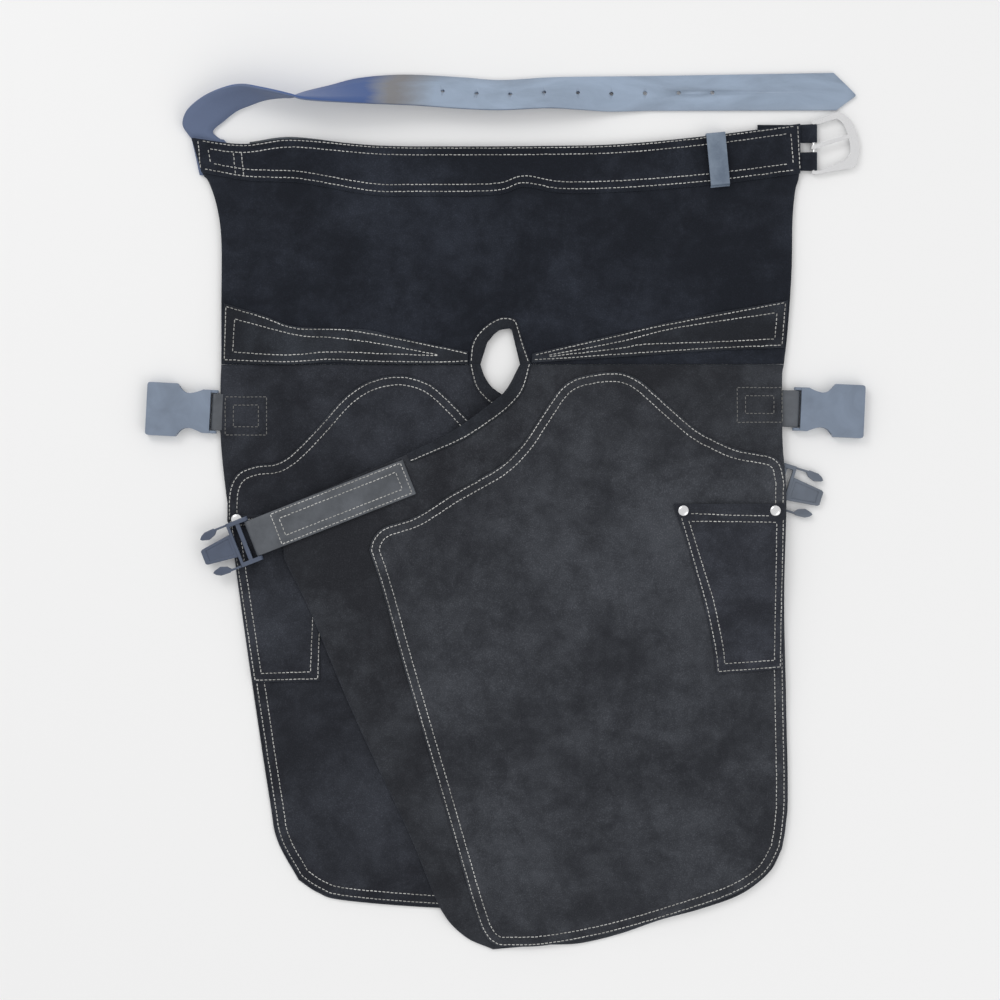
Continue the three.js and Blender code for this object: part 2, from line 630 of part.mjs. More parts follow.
function buckleProng() {
  const inner = BUCKLE_BAR_RADIUS + GAP;
  const half = PRONG_WIDTH / 2;
  const under = BUCKLE_THICKNESS / 2 + GAP;
  const shank = box(0, 39, -half, half, under, under + 2.4).add(box(38, 41, -half, half, under, under + 1.6));
  const aim = shank.rotate([0, 0, 17]);
  return across(inner + 1.4, half, 0, 0, 14).add(aim).subtract(across(inner, half + 1, 0, 0, 14));
}

function beltKeeper() {
  const bandTopZ = WAIST_Z + PLY_STEP + SUEDE;
  const top = bandTopZ + KEEPER_SLACK;
  const back = 25.2 * lengthGrade; // it reaches round the band, whose width is graded
  const front = -27.3 * lengthGrade;
  const foot = WAIST_Z + PLY_STEP;
  const profile = [[8, 0], [back + KEEPER_PLY, 0], [back + KEEPER_PLY, top + KEEPER_PLY],
    [front + 1.4, top + KEEPER_PLY], [front - KEEPER_PLY, top - 1.5], [front - KEEPER_PLY, foot + KEEPER_PLY],
    [front - KEEPER_FOOT, foot + KEEPER_PLY], [front - KEEPER_FOOT, foot], [front, foot], [front, top - 1.8],
    [front + 2, top], [back, top], [back, KEEPER_PLY], [8, KEEPER_PLY],
  ].map(([y, z]) => new THREE.Vector2(y, z));
  const geometry = new THREE.ExtrudeGeometry(new THREE.Shape(profile), {
    depth: KEEPER_WIDTH,
    bevelEnabled: false,
  });
  geometry.rotateX(Math.PI / 2).rotateZ(Math.PI / 2);
  return solidFrom(geometry.translate(-KEEPER_WIDTH / 2, 0, 0));
}

// ---- Assembly ---------------------------------------------------------------------------------------
const apron = new THREE.Group();
const add = (name, solid, material, parent = apron) => parent.add(meshFrom(name, solid, material));

function frameAt(x, y, z, degrees) {
  const frame = new THREE.Group();
  frame.position.set(x, y, z);
  frame.rotation.z = radians(degrees);
  apron.add(frame);
  return frame;
}

function addWaist() {
  add("waist_panel", waistPanel(), SUEDE_BLACK());
  add("waistband", waistband(), SUEDE_BLACK());
  add("waistband_lining", waistbandLining(), STRAP_GREY());
  add("left_yoke", leftYoke(), SUEDE_BLACK());
  add("right_yoke", rightYoke(), SUEDE_BLACK());
  add("waist_binding", waistBinding(), SUEDE_BLACK());
  add("belt_strap", beltStrap(), BELT_LEATHER());
  const keeperSpot = at(221, 366.5);
  add("belt_keeper", beltKeeper(), BELT_LEATHER(), frameAt(keeperSpot.x, keeperSpot.y, 0, 5.4));
  const buckle = frameAt(buckleBar.x, buckleBar.y, buckleBar.z, 0);
  add("buckle_chape", buckleChape(), SUEDE_BLACK(), buckle);
  add("buckle_frame", buckleFrame(), NICKEL(), buckle);
  add("buckle_prong", buckleProng(), NICKEL(), buckle);
}

function addLegs() {
  add("left_leg_panel", riveted(leftLegPanel(), "left"), SUEDE_BLACK());
  add("left_thigh_patch", riveted(leftThighPatch(), "left"), SUEDE_BLACK());
  add("left_pocket", riveted(leftPocket(), "left"), SUEDE_BLACK());
  add("left_binding", leftBinding(), SUEDE_BLACK());
  add("right_leg_panel", riveted(rightLegPanel(), "right"), SUEDE_BLACK());
  add("right_thigh_patch", riveted(rightThighPatch(), "right"), SUEDE_BLACK());
  add("right_pocket", riveted(rightPocket(), "right"), SUEDE_BLACK());
  add("right_binding", rightBinding(), SUEDE_BLACK());
  for (const rivet of RIVETS) {
    const name = rivet.side + "_" + rivet.place + "_rivet";
    add(name + "_cap", rivetCap(rivet), NICKEL());
    add(name + "_washer", rivetWasher(rivet), NICKEL());
  }
}

function addSocket(side, x, y, degrees, webLow, reach) {
  const spot = at(x, y);
  const frame = frameAt(spot.x, spot.y, SOCKET_HEIGHT / 2, degrees);
  const web = { length: TAB_LENGTH, reach, low: webLow - SOCKET_HEIGHT / 2, width: STRAP_WIDTH };
  add(side + "_tab", webLoop(web), STRAP_GREY(), frame);
  add(side + "_socket", socket(), PLASTIC(), frame);
}

function addPlug(side, x, y, z, degrees, webLow) {
  const spot = at(x, y);
  const frame = frameAt(spot.x, spot.y, z, degrees);
  const web = { length: LEG_STRAP_LENGTH, reach: 9, low: webLow - z, width: STRAP_WIDTH };
  add(side + "_leg_strap", webLoop(web), STRAP_GREY(), frame);
  add(side + "_plug", plug(), PLASTIC(), frame);
  add(side + "_plug_arm_a", plugArm(1), PLASTIC(), frame);
  add(side + "_plug_arm_b", plugArm(-1), PLASTIC(), frame);
}

function addBuckles() {
  const overRivet = rivetHeights(RIVETS[0]).over + RIVET_DOME + GAP;
  addSocket("left", -301.2, 103.5, 177, 0, 5);
  addSocket("right", 303, 106.5, -2.5, OVER_BINDING - GAP - WEB, 8);
  addPlug("left", 277.4, 29.6, PLUG_HEIGHT / 2, LEFT_STRAP_ANGLE, WASHER_ROOM + PLY_STEP);
  addPlug("right", -261.3, -28.1, overRivet + PLUG_HEIGHT / 2, RIGHT_STRAP_ANGLE, RIVET_STACK + PLY_STEP);
}

addWaist();
addLegs();
addBuckles();

export default apron;
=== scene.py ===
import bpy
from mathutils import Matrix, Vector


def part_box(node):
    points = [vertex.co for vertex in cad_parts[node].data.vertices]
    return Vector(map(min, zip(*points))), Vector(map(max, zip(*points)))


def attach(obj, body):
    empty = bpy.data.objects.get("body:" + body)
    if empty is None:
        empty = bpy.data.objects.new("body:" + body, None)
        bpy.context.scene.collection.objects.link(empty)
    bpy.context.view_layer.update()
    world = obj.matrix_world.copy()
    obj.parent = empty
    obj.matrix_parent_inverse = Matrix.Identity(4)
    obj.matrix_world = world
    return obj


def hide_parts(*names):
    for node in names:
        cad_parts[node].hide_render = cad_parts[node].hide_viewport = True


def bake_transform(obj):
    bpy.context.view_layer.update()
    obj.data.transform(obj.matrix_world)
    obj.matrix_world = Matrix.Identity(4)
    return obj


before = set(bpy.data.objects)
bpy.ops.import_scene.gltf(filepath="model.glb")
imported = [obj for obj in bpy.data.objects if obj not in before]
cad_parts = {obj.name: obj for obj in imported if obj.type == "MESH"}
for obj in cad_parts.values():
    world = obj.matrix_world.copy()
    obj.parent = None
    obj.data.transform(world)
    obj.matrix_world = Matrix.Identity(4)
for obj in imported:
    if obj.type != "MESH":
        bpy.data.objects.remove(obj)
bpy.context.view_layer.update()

import math

import bmesh
import bpy
import numpy as np

# ---- Camera, table and light --------------------------------------------------------------------------
# The apron lies on a pale table under large soft lights, and is seen from straight above.
# The table is a matt painted square, far wider than the apron.
MM = 0.001
CAMERA_HEIGHT = 2.456
TABLE_HALF = 6.0
TABLE_DROP = 0.4 * MM


def material_of(name, color, roughness, **sockets):
    """A material with plain values on its Principled BSDF; gives the material, its nodes and the shader."""
    material = bpy.data.materials.new(name)
    material.use_nodes = True
    shader = material.node_tree.nodes["Principled BSDF"]
    shader.inputs["Base Color"].default_value = (*color, 1)
    shader.inputs["Roughness"].default_value = roughness
    for socket, value in sockets.items():
        shader.inputs[socket.replace("_", " ")].default_value = value
    return material, material.node_tree, shader


def mesh_object(name, points, faces):
    """A smooth-shaded object from whole arrays of points, in millimetres, and faces."""
    mesh = bpy.data.meshes.new(name)
    mesh.from_pydata(np.asarray(points) * MM, [], [list(face) for face in faces])
    mesh.shade_smooth()
    mesh.update()
    piece = bpy.data.objects.new(name, mesh)
    bpy.context.collection.objects.link(piece)
    return piece


def soft_light(name, place, size, watts):
    """A square area light at place, turned towards the apron's middle."""
    data = bpy.data.lights.new(name, "AREA")
    data.size = size
    data.energy = watts
    lamp = bpy.data.objects.new(name, data)
    lamp.location = place
    lamp.rotation_euler = (math.atan2(math.hypot(place[0], place[1]), place[2]), 0,
                           math.atan2(place[0], -place[1]))
    bpy.context.collection.objects.link(lamp)


camera_data = bpy.data.cameras.new("camera")
camera_data.lens = 85
camera = bpy.data.objects.new("camera", camera_data)
camera.location = (-4.7 * MM, 12 * MM, CAMERA_HEIGHT)
bpy.context.collection.objects.link(camera)
bpy.context.scene.camera = camera
bpy.context.scene.view_settings.view_transform = "Standard"

side = TABLE_HALF / MM
table_top = mesh_object("table_top", [(-side, -side, 0), (side, -side, 0), (side, side, 0), (-side, side, 0)],
                        [(0, 1, 2, 3)])
table_top.location.z = -TABLE_DROP
table_top.data.materials.append(material_of("table_paint", (0.875, 0.875, 0.875), 0.9)[0])
soft_light("window", (-1.7, 2.1, 2.6), 1.5, 26)
soft_light("fill", (2.0, -1.7, 2.4), 2.2, 17)
sky = bpy.data.worlds.new("sky")
sky.use_nodes = True
sky.node_tree.nodes["Background"].inputs["Color"].default_value = (1, 1, 1, 1)
sky.node_tree.nodes["Background"].inputs["Strength"].default_value = 0.8
bpy.context.scene.world = sky

# ---- Waist panel --------------------------------------------------------------------------------------
# One hide of split leather, napped on its outer face, with an arch at its foot where the legs part.
# Every other piece of the apron is sewn to it, and its slack leather lies in low folds over the crotch.
SUEDE = 1.5
PLY_STEP = 1.8  # from one ply's underside to the next one's
WAIST_LIFT = 3.3  # underside of the waist panel
HIP_Y = 152.7  # seam line that both legs fold on
GRID = 3.6  # spacing of the surface grids
BAND_TOP = [(-325, 388), (-272, 381.5), (-220, 387), (-133, 380), (-57, 379), (45, 379.5), (121, 381.5),
            (210, 389.8), (307, 402.5)]
ARCH = [(-25, 153), (-18, 175), (-7, 187), (7, 190), (16, 153)]
WAIST_LEFT = [(-294, 153), (-294, 210), (-294, 282), (-299, 318), (-307.5, 343), (-314, 352), (-325, 387)]
WAIST_RIGHT = [(290, 153), (294, 189), (298, 250), (299, 303), (302, 334), (306, 351), (307, 402)]
STILL_SPOTS = [(-301, 103, 42), (303, 106, 42), (277, 29, 60), (-261, -28, 60), (-306, 368, 50),
               (300, 378, 55),
               (-278, -8, 18), (-181, -8, 18), (185, 1, 18), (280, 1, 18)]  # hardware: place and reach
FOLDS = [(-14, 222, 2.3, 26, 6, 3.0), (2, 232, 1.75, 30, 6, 3.3), (21, 216, 1.1, 26, 6, 2.8),
         (-38, 206, 2.75, 24, 5, 1.3), (40, 206, 0.45, 24, 5, 1.2), (-262, 262, 1.4, 44, 9, 1.6),
         (272, 282, 1.6, 50, 9, 1.7), (-275, 120, 0.5, 30, 7, 1.2), (-286, -120, 1.5, 60, 6, 1.2),
         (-150, 265, 2.9, 70, 12, 1.2), (120, 262, 0.2, 80, 12, 1.3), (-224, 95, 0.7, 34, 7, 1.0)]


def smooth(points, per_span=14):
    """Catmull-Rom curve: each span blends its two points with the slopes through their neighbours."""
    p = np.array(points, float)
    p = np.vstack([2 * p[0] - p[1], p, 2 * p[-1] - p[-2]])
    t = np.linspace(0, 1, per_span, endpoint=False)[:, None]
    a, b, c, d = (p[k : len(p) - 3 + k, None] for k in range(4))
    curve = 0.5 * (2 * b + (c - a) * t + (2 * a - 5 * b + 4 * c - d) * t**2 + (3 * b - a - 3 * c + d) * t**3)
    return np.vstack([curve.reshape(-1, p.shape[1]), p[-2][None]])


def edge(*stretches):
    """One edge of a cut piece: a stretch of more than two points is a smooth curve, any other is straight."""
    return np.vstack([smooth(s) if len(s) > 2 else np.array(s, float) for s in stretches])


def evenly(line, shares):
    """Points at the given shares of a line's length."""
    step = np.hypot(*np.diff(line, axis=0).T[:2])
    if line.shape[1] == 3:
        step = np.linalg.norm(np.diff(line, axis=0), axis=1)
    run = np.concatenate([[0], np.cumsum(step)])
    return np.stack([np.interp(shares * run[-1], run, line[:, k]) for k in range(line.shape[1])], -1)


def length_of(line):
    """How long a line is, measured in plan."""
    return float(np.sum(np.hypot(*np.diff(line, axis=0).T[:2])))


def patch(low, high, left, right, spacing=GRID, hinge=False):
    """Coons patch: a point mixes the low and high edges by v, the left and right ones by u, less the corners.

    low and high run left to right, left and right run upwards. hinge packs the last rows for a fold.
    """
    nu = max(3, int(max(length_of(low), length_of(high)) / spacing) + 1)
    nv = max(3, int(max(length_of(left), length_of(right)) / spacing) + 1)
    u, v = np.linspace(0, 1, nu), np.linspace(0, 1, nv)
    if hinge:
        v = np.concatenate([np.linspace(0, 0.94, nv - 8, endpoint=False), np.linspace(0.94, 1, 14)])
    b, t, l, r = evenly(low, u)[None], evenly(high, u)[None], evenly(left, v)[:, None], evenly(right, v)[:,
                                                                                                         None]
    u, v = u[None, :, None], v[:, None, None]
    corners = (1 - v) * ((1 - u) * b[:, :1] + u * b[:, -1:]) + v * ((1 - u) * t[:, :1] + u * t[:, -1:])
    xy = (1 - v) * b + v * t + (1 - u) * l + u * r - corners
    return xy[..., 0], xy[..., 1]


def waves(x, y, scale, seed):
    """Smooth waves with no repeat: a sum of sines whose directions, lengths and phases come from the seed."""
    rng = np.random.default_rng(seed)
    angle, phase = rng.uniform(0, 2 * np.pi, (2, 9))
    number = 2 * np.pi / (scale * rng.uniform(0.6, 1.8, 9))
    turn = x[..., None] * np.cos(angle) + y[..., None] * np.sin(angle)
    return np.sum(np.sin(number * turn + phase), -1) / 4.2


def slack(x, y):
    """How far the leather stands off where it would lie flat: slow waves and folds, still near the hardware.

    A fold is a ridge of the given height, its length and width falling off as a bell curve.
    """
    rise = 0.8 + 0.5 * waves(x, y, 150, 3) + 0.22 * waves(x, y, 48, 4)
    for fx, fy, turn, long, wide, height in FOLDS:
        u = (x - fx) * math.cos(turn) + (y - fy) * math.sin(turn)
        v = (y - fy) * math.cos(turn) - (x - fx) * math.sin(turn)
        rise = rise + height * np.exp(-((u / long) ** 2) - (v / wide) ** 2)
    for sx, sy, reach in STILL_SPOTS:
        near = np.clip(1.5 - np.hypot(x - sx, y - sy) / reach, 0, 1)
        rise = rise * (1 - near * near * (3 - 2 * near))
    return np.maximum(rise, 0)


def waist_under(x, y):
    """Underside of the waist panel: level over the tabs and the belt's root, plus the slack."""
    return WAIST_LIFT + slack(x, y) * np.clip((335 - y) / 30, 0.15, 1)


def ply(name, grid, under, level=0, proud=0.0):
    """A ply of leather: two grids, SUEDE apart, joined by a wall round their rim, eased at its edges.

    Its underside is the height under(x, y) plus level steps of one ply and its gap.
    """
    x, y = grid
    rows, cols = x.shape
    ease = np.zeros((rows, cols))
    ease[[0, -1]] = 0.5
    ease[:, [0, -1]] = 0.5
    base = under(x, y) + level * PLY_STEP + proud
    low = np.stack([x, y, base + 0.4 * ease], -1).reshape(-1, 3)
    high = np.stack([x, y, base + SUEDE - ease], -1).reshape(-1, 3)
    index = np.arange(rows * cols).reshape(rows, cols)
    quads = np.stack([index[:-1, :-1], index[:-1, 1:], index[1:, 1:], index[1:, :-1]], -1).reshape(-1, 4)
    ring = np.concatenate([index[0, :-1], index[:-1, -1], index[-1, :0:-1], index[:0:-1, 0]])
    after = np.roll(ring, -1)
    wall = np.stack([ring, after, after + rows * cols, ring + rows * cols], -1)
    faces = np.vstack([quads + rows * cols, quads[:, ::-1], wall])
    turned = (x[1, 1] - x[1, 0]) * (y[1, 1] - y[0, 1]) - (y[1, 1] - y[1, 0]) * (x[1, 1] - x[0, 1])
    return mesh_object(name, np.vstack([low, high]), faces if turned > 0 else faces[:, ::-1])


def node(tree, kind, **values):
    """Adds a shader node; a value is set on the node's own property, or else on its input of that name."""
    made = tree.nodes.new(kind)
    for name, value in values.items():
        if hasattr(made, name):
            setattr(made, name, value)
        else:
            made.inputs[name.replace("_", " ")].default_value = value
    return made


def nap_group():
    """Napped leather: slow clouds where the nap lies either way, brush marks, and a fine fibrous grain.

    Clouding is a mask from two sizes of noise; Grain is a height from fibres of about a millimetre.
    """
    group = bpy.data.node_groups.new("nap", "ShaderNodeTree")
    for name, kind, value in [("Cloud Size", "NodeSocketFloat", 9.0), ("Offset", "NodeSocketVector",
                                                                       (0, 0, 0)),
                              ("Low", "NodeSocketFloat", 0.46), ("High", "NodeSocketFloat", 0.72)]:
        group.interface.new_socket(name, in_out="INPUT", socket_type=kind).default_value = value
    for name in ("Clouding", "Flecks", "Grain"):
        group.interface.new_socket(name, in_out="OUTPUT", socket_type="NodeSocketFloat")
    inside, outside = node(group, "NodeGroupInput"), node(group, "NodeGroupOutput")
    link = group.links.new
    place = node(group, "ShaderNodeTexCoord")
    moved = node(group, "ShaderNodeVectorMath", operation="ADD")
    link(place.outputs["Object"], moved.inputs[0])
    link(inside.outputs["Offset"], moved.inputs[1])
    big = node(group, "ShaderNodeTexNoise", Detail=5.0, Roughness=0.62, Distortion=0.6)
    link(moved.outputs[0], big.inputs["Vector"])
    link(inside.outputs["Cloud Size"], big.inputs["Scale"])
    rubbed = node(group, "ShaderNodeTexNoise", Scale=46.0, Detail=4.0, Roughness=0.7, Distortion=0.3)
    link(moved.outputs[0], rubbed.inputs["Vector"])
    both = node(group, "ShaderNodeMath", operation="MULTIPLY_ADD")
    link(rubbed.outputs["Fac"], both.inputs[0])
    both.inputs[1].default_value = 0.6
    shifted = node(group, "ShaderNodeMath", operation="ADD")
    link(big.outputs["Fac"], shifted.inputs[0])
    shifted.inputs[1].default_value = -0.3
    link(shifted.outputs[0], both.inputs[2])
    ramp = node(group, "ShaderNodeMapRange", interpolation_type="SMOOTHSTEP")
    link(both.outputs[0], ramp.inputs["Value"])
    link(inside.outputs["Low"], ramp.inputs["From Min"])
    link(inside.outputs["High"], ramp.inputs["From Max"])
    link(ramp.outputs["Result"], outside.inputs["Clouding"])
    fibre = node(group, "ShaderNodeTexNoise", Scale=820.0, Detail=3.0, Roughness=0.75)
    link(moved.outputs[0], fibre.inputs["Vector"])
    pits = node(group, "ShaderNodeTexNoise", Scale=260.0, Detail=3.0, Roughness=0.6, Distortion=0.8)
    link(moved.outputs[0], pits.inputs["Vector"])
    grain = node(group, "ShaderNodeMath", operation="MULTIPLY_ADD")
    link(pits.outputs["Fac"], grain.inputs[0])
    grain.inputs[1].default_value = 0.9
    link(fibre.outputs["Fac"], grain.inputs[2])
    link(grain.outputs[0], outside.inputs["Grain"])
    dots = node(group, "ShaderNodeMapRange", From_Min=0.5, From_Max=0.8)
    link(fibre.outputs["Fac"], dots.inputs["Value"])
    link(dots.outputs["Result"], outside.inputs["Flecks"])
    return group


NAP = nap_group()


def mixed(tree, factor, low, high, blend="MIX"):
    """A colour mix of two colours, or of a colour and a socket, by a factor socket or number."""
    mix = node(tree, "ShaderNodeMix", data_type="RGBA", blend_type=blend)
    sockets = [mix.inputs[0], mix.inputs[6], mix.inputs[7]]
    for socket, value in zip(sockets, (factor, low, high)):
        if isinstance(value, (int, float)):
            socket.default_value = value
        elif isinstance(value, tuple):
            socket.default_value = (*value, 1)
        else:
            tree.links.new(value, socket)
    return mix.outputs[2]


def suede(name, dark, pale, cloud_size=9.0, offset=(0, 0, 0), low=0.46, high=0.72):
    """Napped leather: a dark ground, paler where the nap is brushed up, with a fibrous grain."""
    material, tree, shader = material_of(name, dark, 0.93, Specular_IOR_Level=0.22, Sheen_Weight=0.25,
                                         Sheen_Roughness=0.45, Sheen_Tint=(0.55, 0.66, 0.85, 1))
    nap = node(tree, "ShaderNodeGroup", node_tree=NAP)
    for socket, value in (("Cloud Size", cloud_size), ("Offset", offset), ("Low", low), ("High", high)):
        nap.inputs[socket].default_value = value
    ground = mixed(tree, nap.outputs["Clouding"], dark, pale)
    flecked = mixed(tree, nap.outputs["Flecks"], (0.55, 0.55, 0.55), (1.9, 1.85, 1.8), "MIX")
    tree.links.new(mixed(tree, 0.75, ground, flecked, "MULTIPLY"), shader.inputs["Base Color"])
    bump = node(tree, "ShaderNodeBump", Strength=0.55, Distance=0.0006)
    tree.links.new(nap.outputs["Grain"], bump.inputs["Height"])
    tree.links.new(bump.outputs["Normal"], shader.inputs["Normal"])
    return material


NAVY_SUEDE = suede("navy_suede", (0.0095, 0.0118, 0.0185), (0.031, 0.037, 0.053), 7.5, (0.3, 0.1, 0), 0.34,
                   0.86)


def stands_for(piece, cad_node, body, material):
    """Gives a piece its finish and hides its CAD node; the piece goes on its body, or, for a body in a tuple,
    only has its transform baked.
    """
    piece.data.materials.append(material)
    if isinstance(body, tuple):
        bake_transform(piece)
    else:
        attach(piece, body)
    if cad_node:
        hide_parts(cad_node)
    return piece


waist_grid = patch(
    edge([(-294, HIP_Y), (-25, HIP_Y)], ARCH[1:-1], [(16, HIP_Y),
         (290, HIP_Y)]),
    edge([(x, y - 1) for x, y in BAND_TOP]), edge(WAIST_LEFT), edge(WAIST_RIGHT))
waist_leather = ply("waist_leather", waist_grid, waist_under)
stands_for(waist_leather, "waist_panel", "waist", NAVY_SUEDE)

# ---- Waistband and its lining -------------------------------------------------------------------------
# A long band of the same suede is folded over the waist and backed by a smooth leather lining, which
# stands a little above it. Double rows of cream thread run round it, with a stitched box at the left end.
BAND_FOOT = [(-314.5, 352), (-272, 344.3), (-240, 342.6), (-209, 341), (-139, 329), (-93, 328), (-11, 329),
             (20, 337), (59, 331), (121, 332), (212, 339), (307, 351)]
LINING_RISE = 2.2
LINING_TUCK = 0.5  # how far its edge stays under the band elsewhere
LINING_SHOWS = -150  # the backing stands above the band only to the left of here
LINING_ENDS = (-268, 256)
PITCH = 4.3  # from one stitch to the next
THREAD = material_of("cream_thread", (0.56, 0.545, 0.50), 0.75, Sheen_Weight=0.3)
DIM_THREAD = material_of("dim_thread", (0.15, 0.15, 0.145), 0.8)[0]


def fray(material, tree, shader, low, high):
    """Thread is grubbier in places: slow noise along the rows, and a twist of fine light and dark."""
    place = node(tree, "ShaderNodeTexCoord")
    dirt = node(tree, "ShaderNodeTexNoise", Scale=38.0, Detail=4.0, Roughness=0.7)
    tree.links.new(place.outputs["Object"], dirt.inputs["Vector"])
    grub = node(tree, "ShaderNodeMapRange", From_Min=0.36, From_Max=0.62)
    tree.links.new(dirt.outputs["Fac"], grub.inputs["Value"])
    tree.links.new(mixed(tree, grub.outputs["Result"], low, high), shader.inputs["Base Color"])
    twist = node(tree, "ShaderNodeTexNoise", Scale=1500.0, Detail=2.0)
    tree.links.new(place.outputs["Object"], twist.inputs["Vector"])
    bump = node(tree, "ShaderNodeBump", Strength=0.5, Distance=0.0003)
    tree.links.new(twist.outputs["Fac"], bump.inputs["Height"])
    tree.links.new(bump.outputs["Normal"], shader.inputs["Normal"])
    return material


THREAD = fray(*THREAD, (0.27, 0.265, 0.25), (0.62, 0.615, 0.595))


def inset(line, distance):
    """The line moved sideways by distance, to its left, from its own evened-out directions."""
    count = max(8, int(length_of(line) / 3))
    even = evenly(line, np.linspace(0, 1, count))
    way = np.gradient(even, axis=0)
    way /= np.hypot(*way.T)[:, None]
    moved = even + distance * np.stack([-way[:, 1], way[:, 0]], -1)
    moved[1:-1] = (moved[:-2] + 2 * moved[1:-1] + moved[2:]) / 4
    return moved


def sew(name, rows, height, pitch=PITCH, thick=0.45, seed=1):
    """Stitches along rows: each is a flattened capsule of four six-sided rings, its ends sunk in the leather.

    height(x, y) is the face that the thread lies on. Lengths, places and turns vary a little.
    """
    rng = np.random.default_rng(seed)
    places, ways = [], []
    for row in rows:
        row = np.asarray(row, float)
        count = max(1, round(length_of(row) / pitch))
        middle = (np.arange(count) + 0.5) / count
        reach = 0.3 / count
        places.append(evenly(row, middle))
        ways.append(evenly(row, middle + reach) - evenly(row, middle - reach))
    places, ways = np.vstack(places), np.vstack(ways)
    count = len(places)
    turn = np.arctan2(ways[:, 1], ways[:, 0]) + rng.normal(0, 0.045, count)
    half = 0.5 * pitch * rng.uniform(0.70, 0.82, count)
    places = places + rng.normal(0, 0.10, (count, 2))
    along = np.array([-1.0, -0.7, 0.7, 1.0])[None, :, None] * half[:, None, None]
    ring = np.linspace(0, 2 * np.pi, 6, endpoint=False)
    narrow = np.array([0.45, 1.0, 1.0, 0.45])[None, :, None]
    sideways = thick * narrow * np.cos(ring)
    c, s = np.cos(turn)[:, None, None], np.sin(turn)[:, None, None]
    x = places[:, 0, None, None] + along * c - sideways * s
    y = places[:, 1, None, None] + along * s + sideways * c
    sink = np.array([-0.30, 0.12, 0.12, -0.30])[None, :, None]
    z = height(x, y) + sink + 0.75 * thick * narrow * np.sin(ring)
    points = np.stack([x, y, z], -1).reshape(-1, 3)
    start = 24 * np.arange(count)[:, None, None]
    k, j = np.arange(3)[:, None], np.arange(6)[None]
    a, b = 6 * k + j, 6 * k + (j + 1) % 6
    quads = (start[..., None] + np.stack([a, a + 6, b + 6, b], -1)[None]).reshape(-1, 4)
    caps = (24 * np.arange(count)[:, None, None] + np.array([[0, 1, 2, 3, 4, 5],
                                                             [23, 22, 21, 20, 19, 18]])[None])
    return mesh_object(name, points, quads.tolist() + caps.reshape(-1, 6).tolist())


def face_of(under, level):
    """The outer face of a ply: its underside, its level and its own thickness."""
    return lambda x, y: under(x, y) + level * PLY_STEP + SUEDE


band_grid = patch(edge(BAND_FOOT), edge(BAND_TOP), edge([(-314.5, 352), (-325, 388)]),
                  edge([(307, 351), (307, 402.5)]),
                  3.2)
waistband_leather = ply("waistband_leather", band_grid, waist_under, 1)
stands_for(waistband_leather, "waistband", "waist", NAVY_SUEDE)


def smooth_leather(name, color, worn, roughness=0.42, grain=620.0, cloud=14.0):
    """Finished leather: a fine cellular grain, a rubbed lighter tone in slow patches, a soft gloss."""
    material, tree, shader = material_of(name, color, roughness, Specular_IOR_Level=0.5)
    place = node(tree, "ShaderNodeTexCoord")
    cells = node(tree, "ShaderNodeTexVoronoi", Scale=grain)
    patches = node(tree, "ShaderNodeTexNoise", Scale=cloud, Detail=6.0, Roughness=0.65)
    for texture in (cells, patches):
        tree.links.new(place.outputs["Object"], texture.inputs["Vector"])
    rubbed = node(tree, "ShaderNodeMapRange", From_Min=0.38, From_Max=0.68)
    tree.links.new(patches.outputs["Fac"], rubbed.inputs["Value"])
    tree.links.new(mixed(tree, rubbed.outputs["Result"], color, worn), shader.inputs["Base Color"])
    gloss = node(tree, "ShaderNodeMapRange", To_Min=roughness - 0.08, To_Max=roughness + 0.14)
    tree.links.new(patches.outputs["Fac"], gloss.inputs["Value"])
    tree.links.new(gloss.outputs["Result"], shader.inputs["Roughness"])
    bump = node(tree, "ShaderNodeBump", Strength=0.28, Distance=0.0004)
    tree.links.new(cells.outputs["Distance"], bump.inputs["Height"])
    tree.links.new(bump.outputs["Normal"], shader.inputs["Normal"])
    return material


LINING_LEATHER = smooth_leather("lining_leather", (0.055, 0.062, 0.066), (0.13, 0.15, 0.17), 0.5)


def trimmed(line, left, right):
    """The part of a line between two places in X."""
    return line[(line[:, 0] >= left) & (line[:, 0] <= right)]


lining_edge = [(x, y + (LINING_RISE if x < LINING_SHOWS else -LINING_TUCK)) for x, y in BAND_TOP]
lining_top = trimmed(edge(lining_edge), *LINING_ENDS)
lining_foot = trimmed(edge(BAND_FOOT), *LINING_ENDS)
lining_grid = patch(lining_foot, lining_top, np.stack([lining_foot[0], lining_top[0]]),
                    np.stack([lining_foot[-1], lining_top[-1]]), 4)
lining = ply("waistband_backing", lining_grid, waist_under, -1)
stands_for(lining, "waistband_lining", "waist", LINING_LEATHER)

band_top, band_foot = edge(BAND_TOP), edge(BAND_FOOT)


def band_row(line, drop, left, right):
    """A row that follows one of the band's edges at a given drop, between two places in X."""
    return trimmed(np.stack([line[:, 0], line[:, 1] - drop], -1), left, right)


def upright_row(x, top_drop, foot_rise):
    """A row across the band at x, from top_drop under its top edge to foot_rise over its foot."""
    top = np.interp(x, band_top[:, 0], band_top[:, 1]) - top_drop
    foot = np.interp(x, band_foot[:, 0], band_foot[:, 1]) + foot_rise
    return [(x + 1.5, foot), (x - 1.0, top)]


band_rows = [band_row(band_top, 1.9, -317, 305), band_row(band_top, 8.9, -307, 298),
             band_row(band_foot, -4.2, -314, 305), band_row(band_foot, -11.4, -305, 298),
             upright_row(-317, 2, 4.5), upright_row(-306.5, 9, 11.5), upright_row(-280.5, 9, 4.5),
             upright_row(-272, 9, 4.5), upright_row(305, 2, 4.5), upright_row(298, 9, 11.5)]
band_seams = sew("waistband_stitching", band_rows, face_of(waist_under, 1), seed=11)
stands_for(band_seams, None, "waist", THREAD)

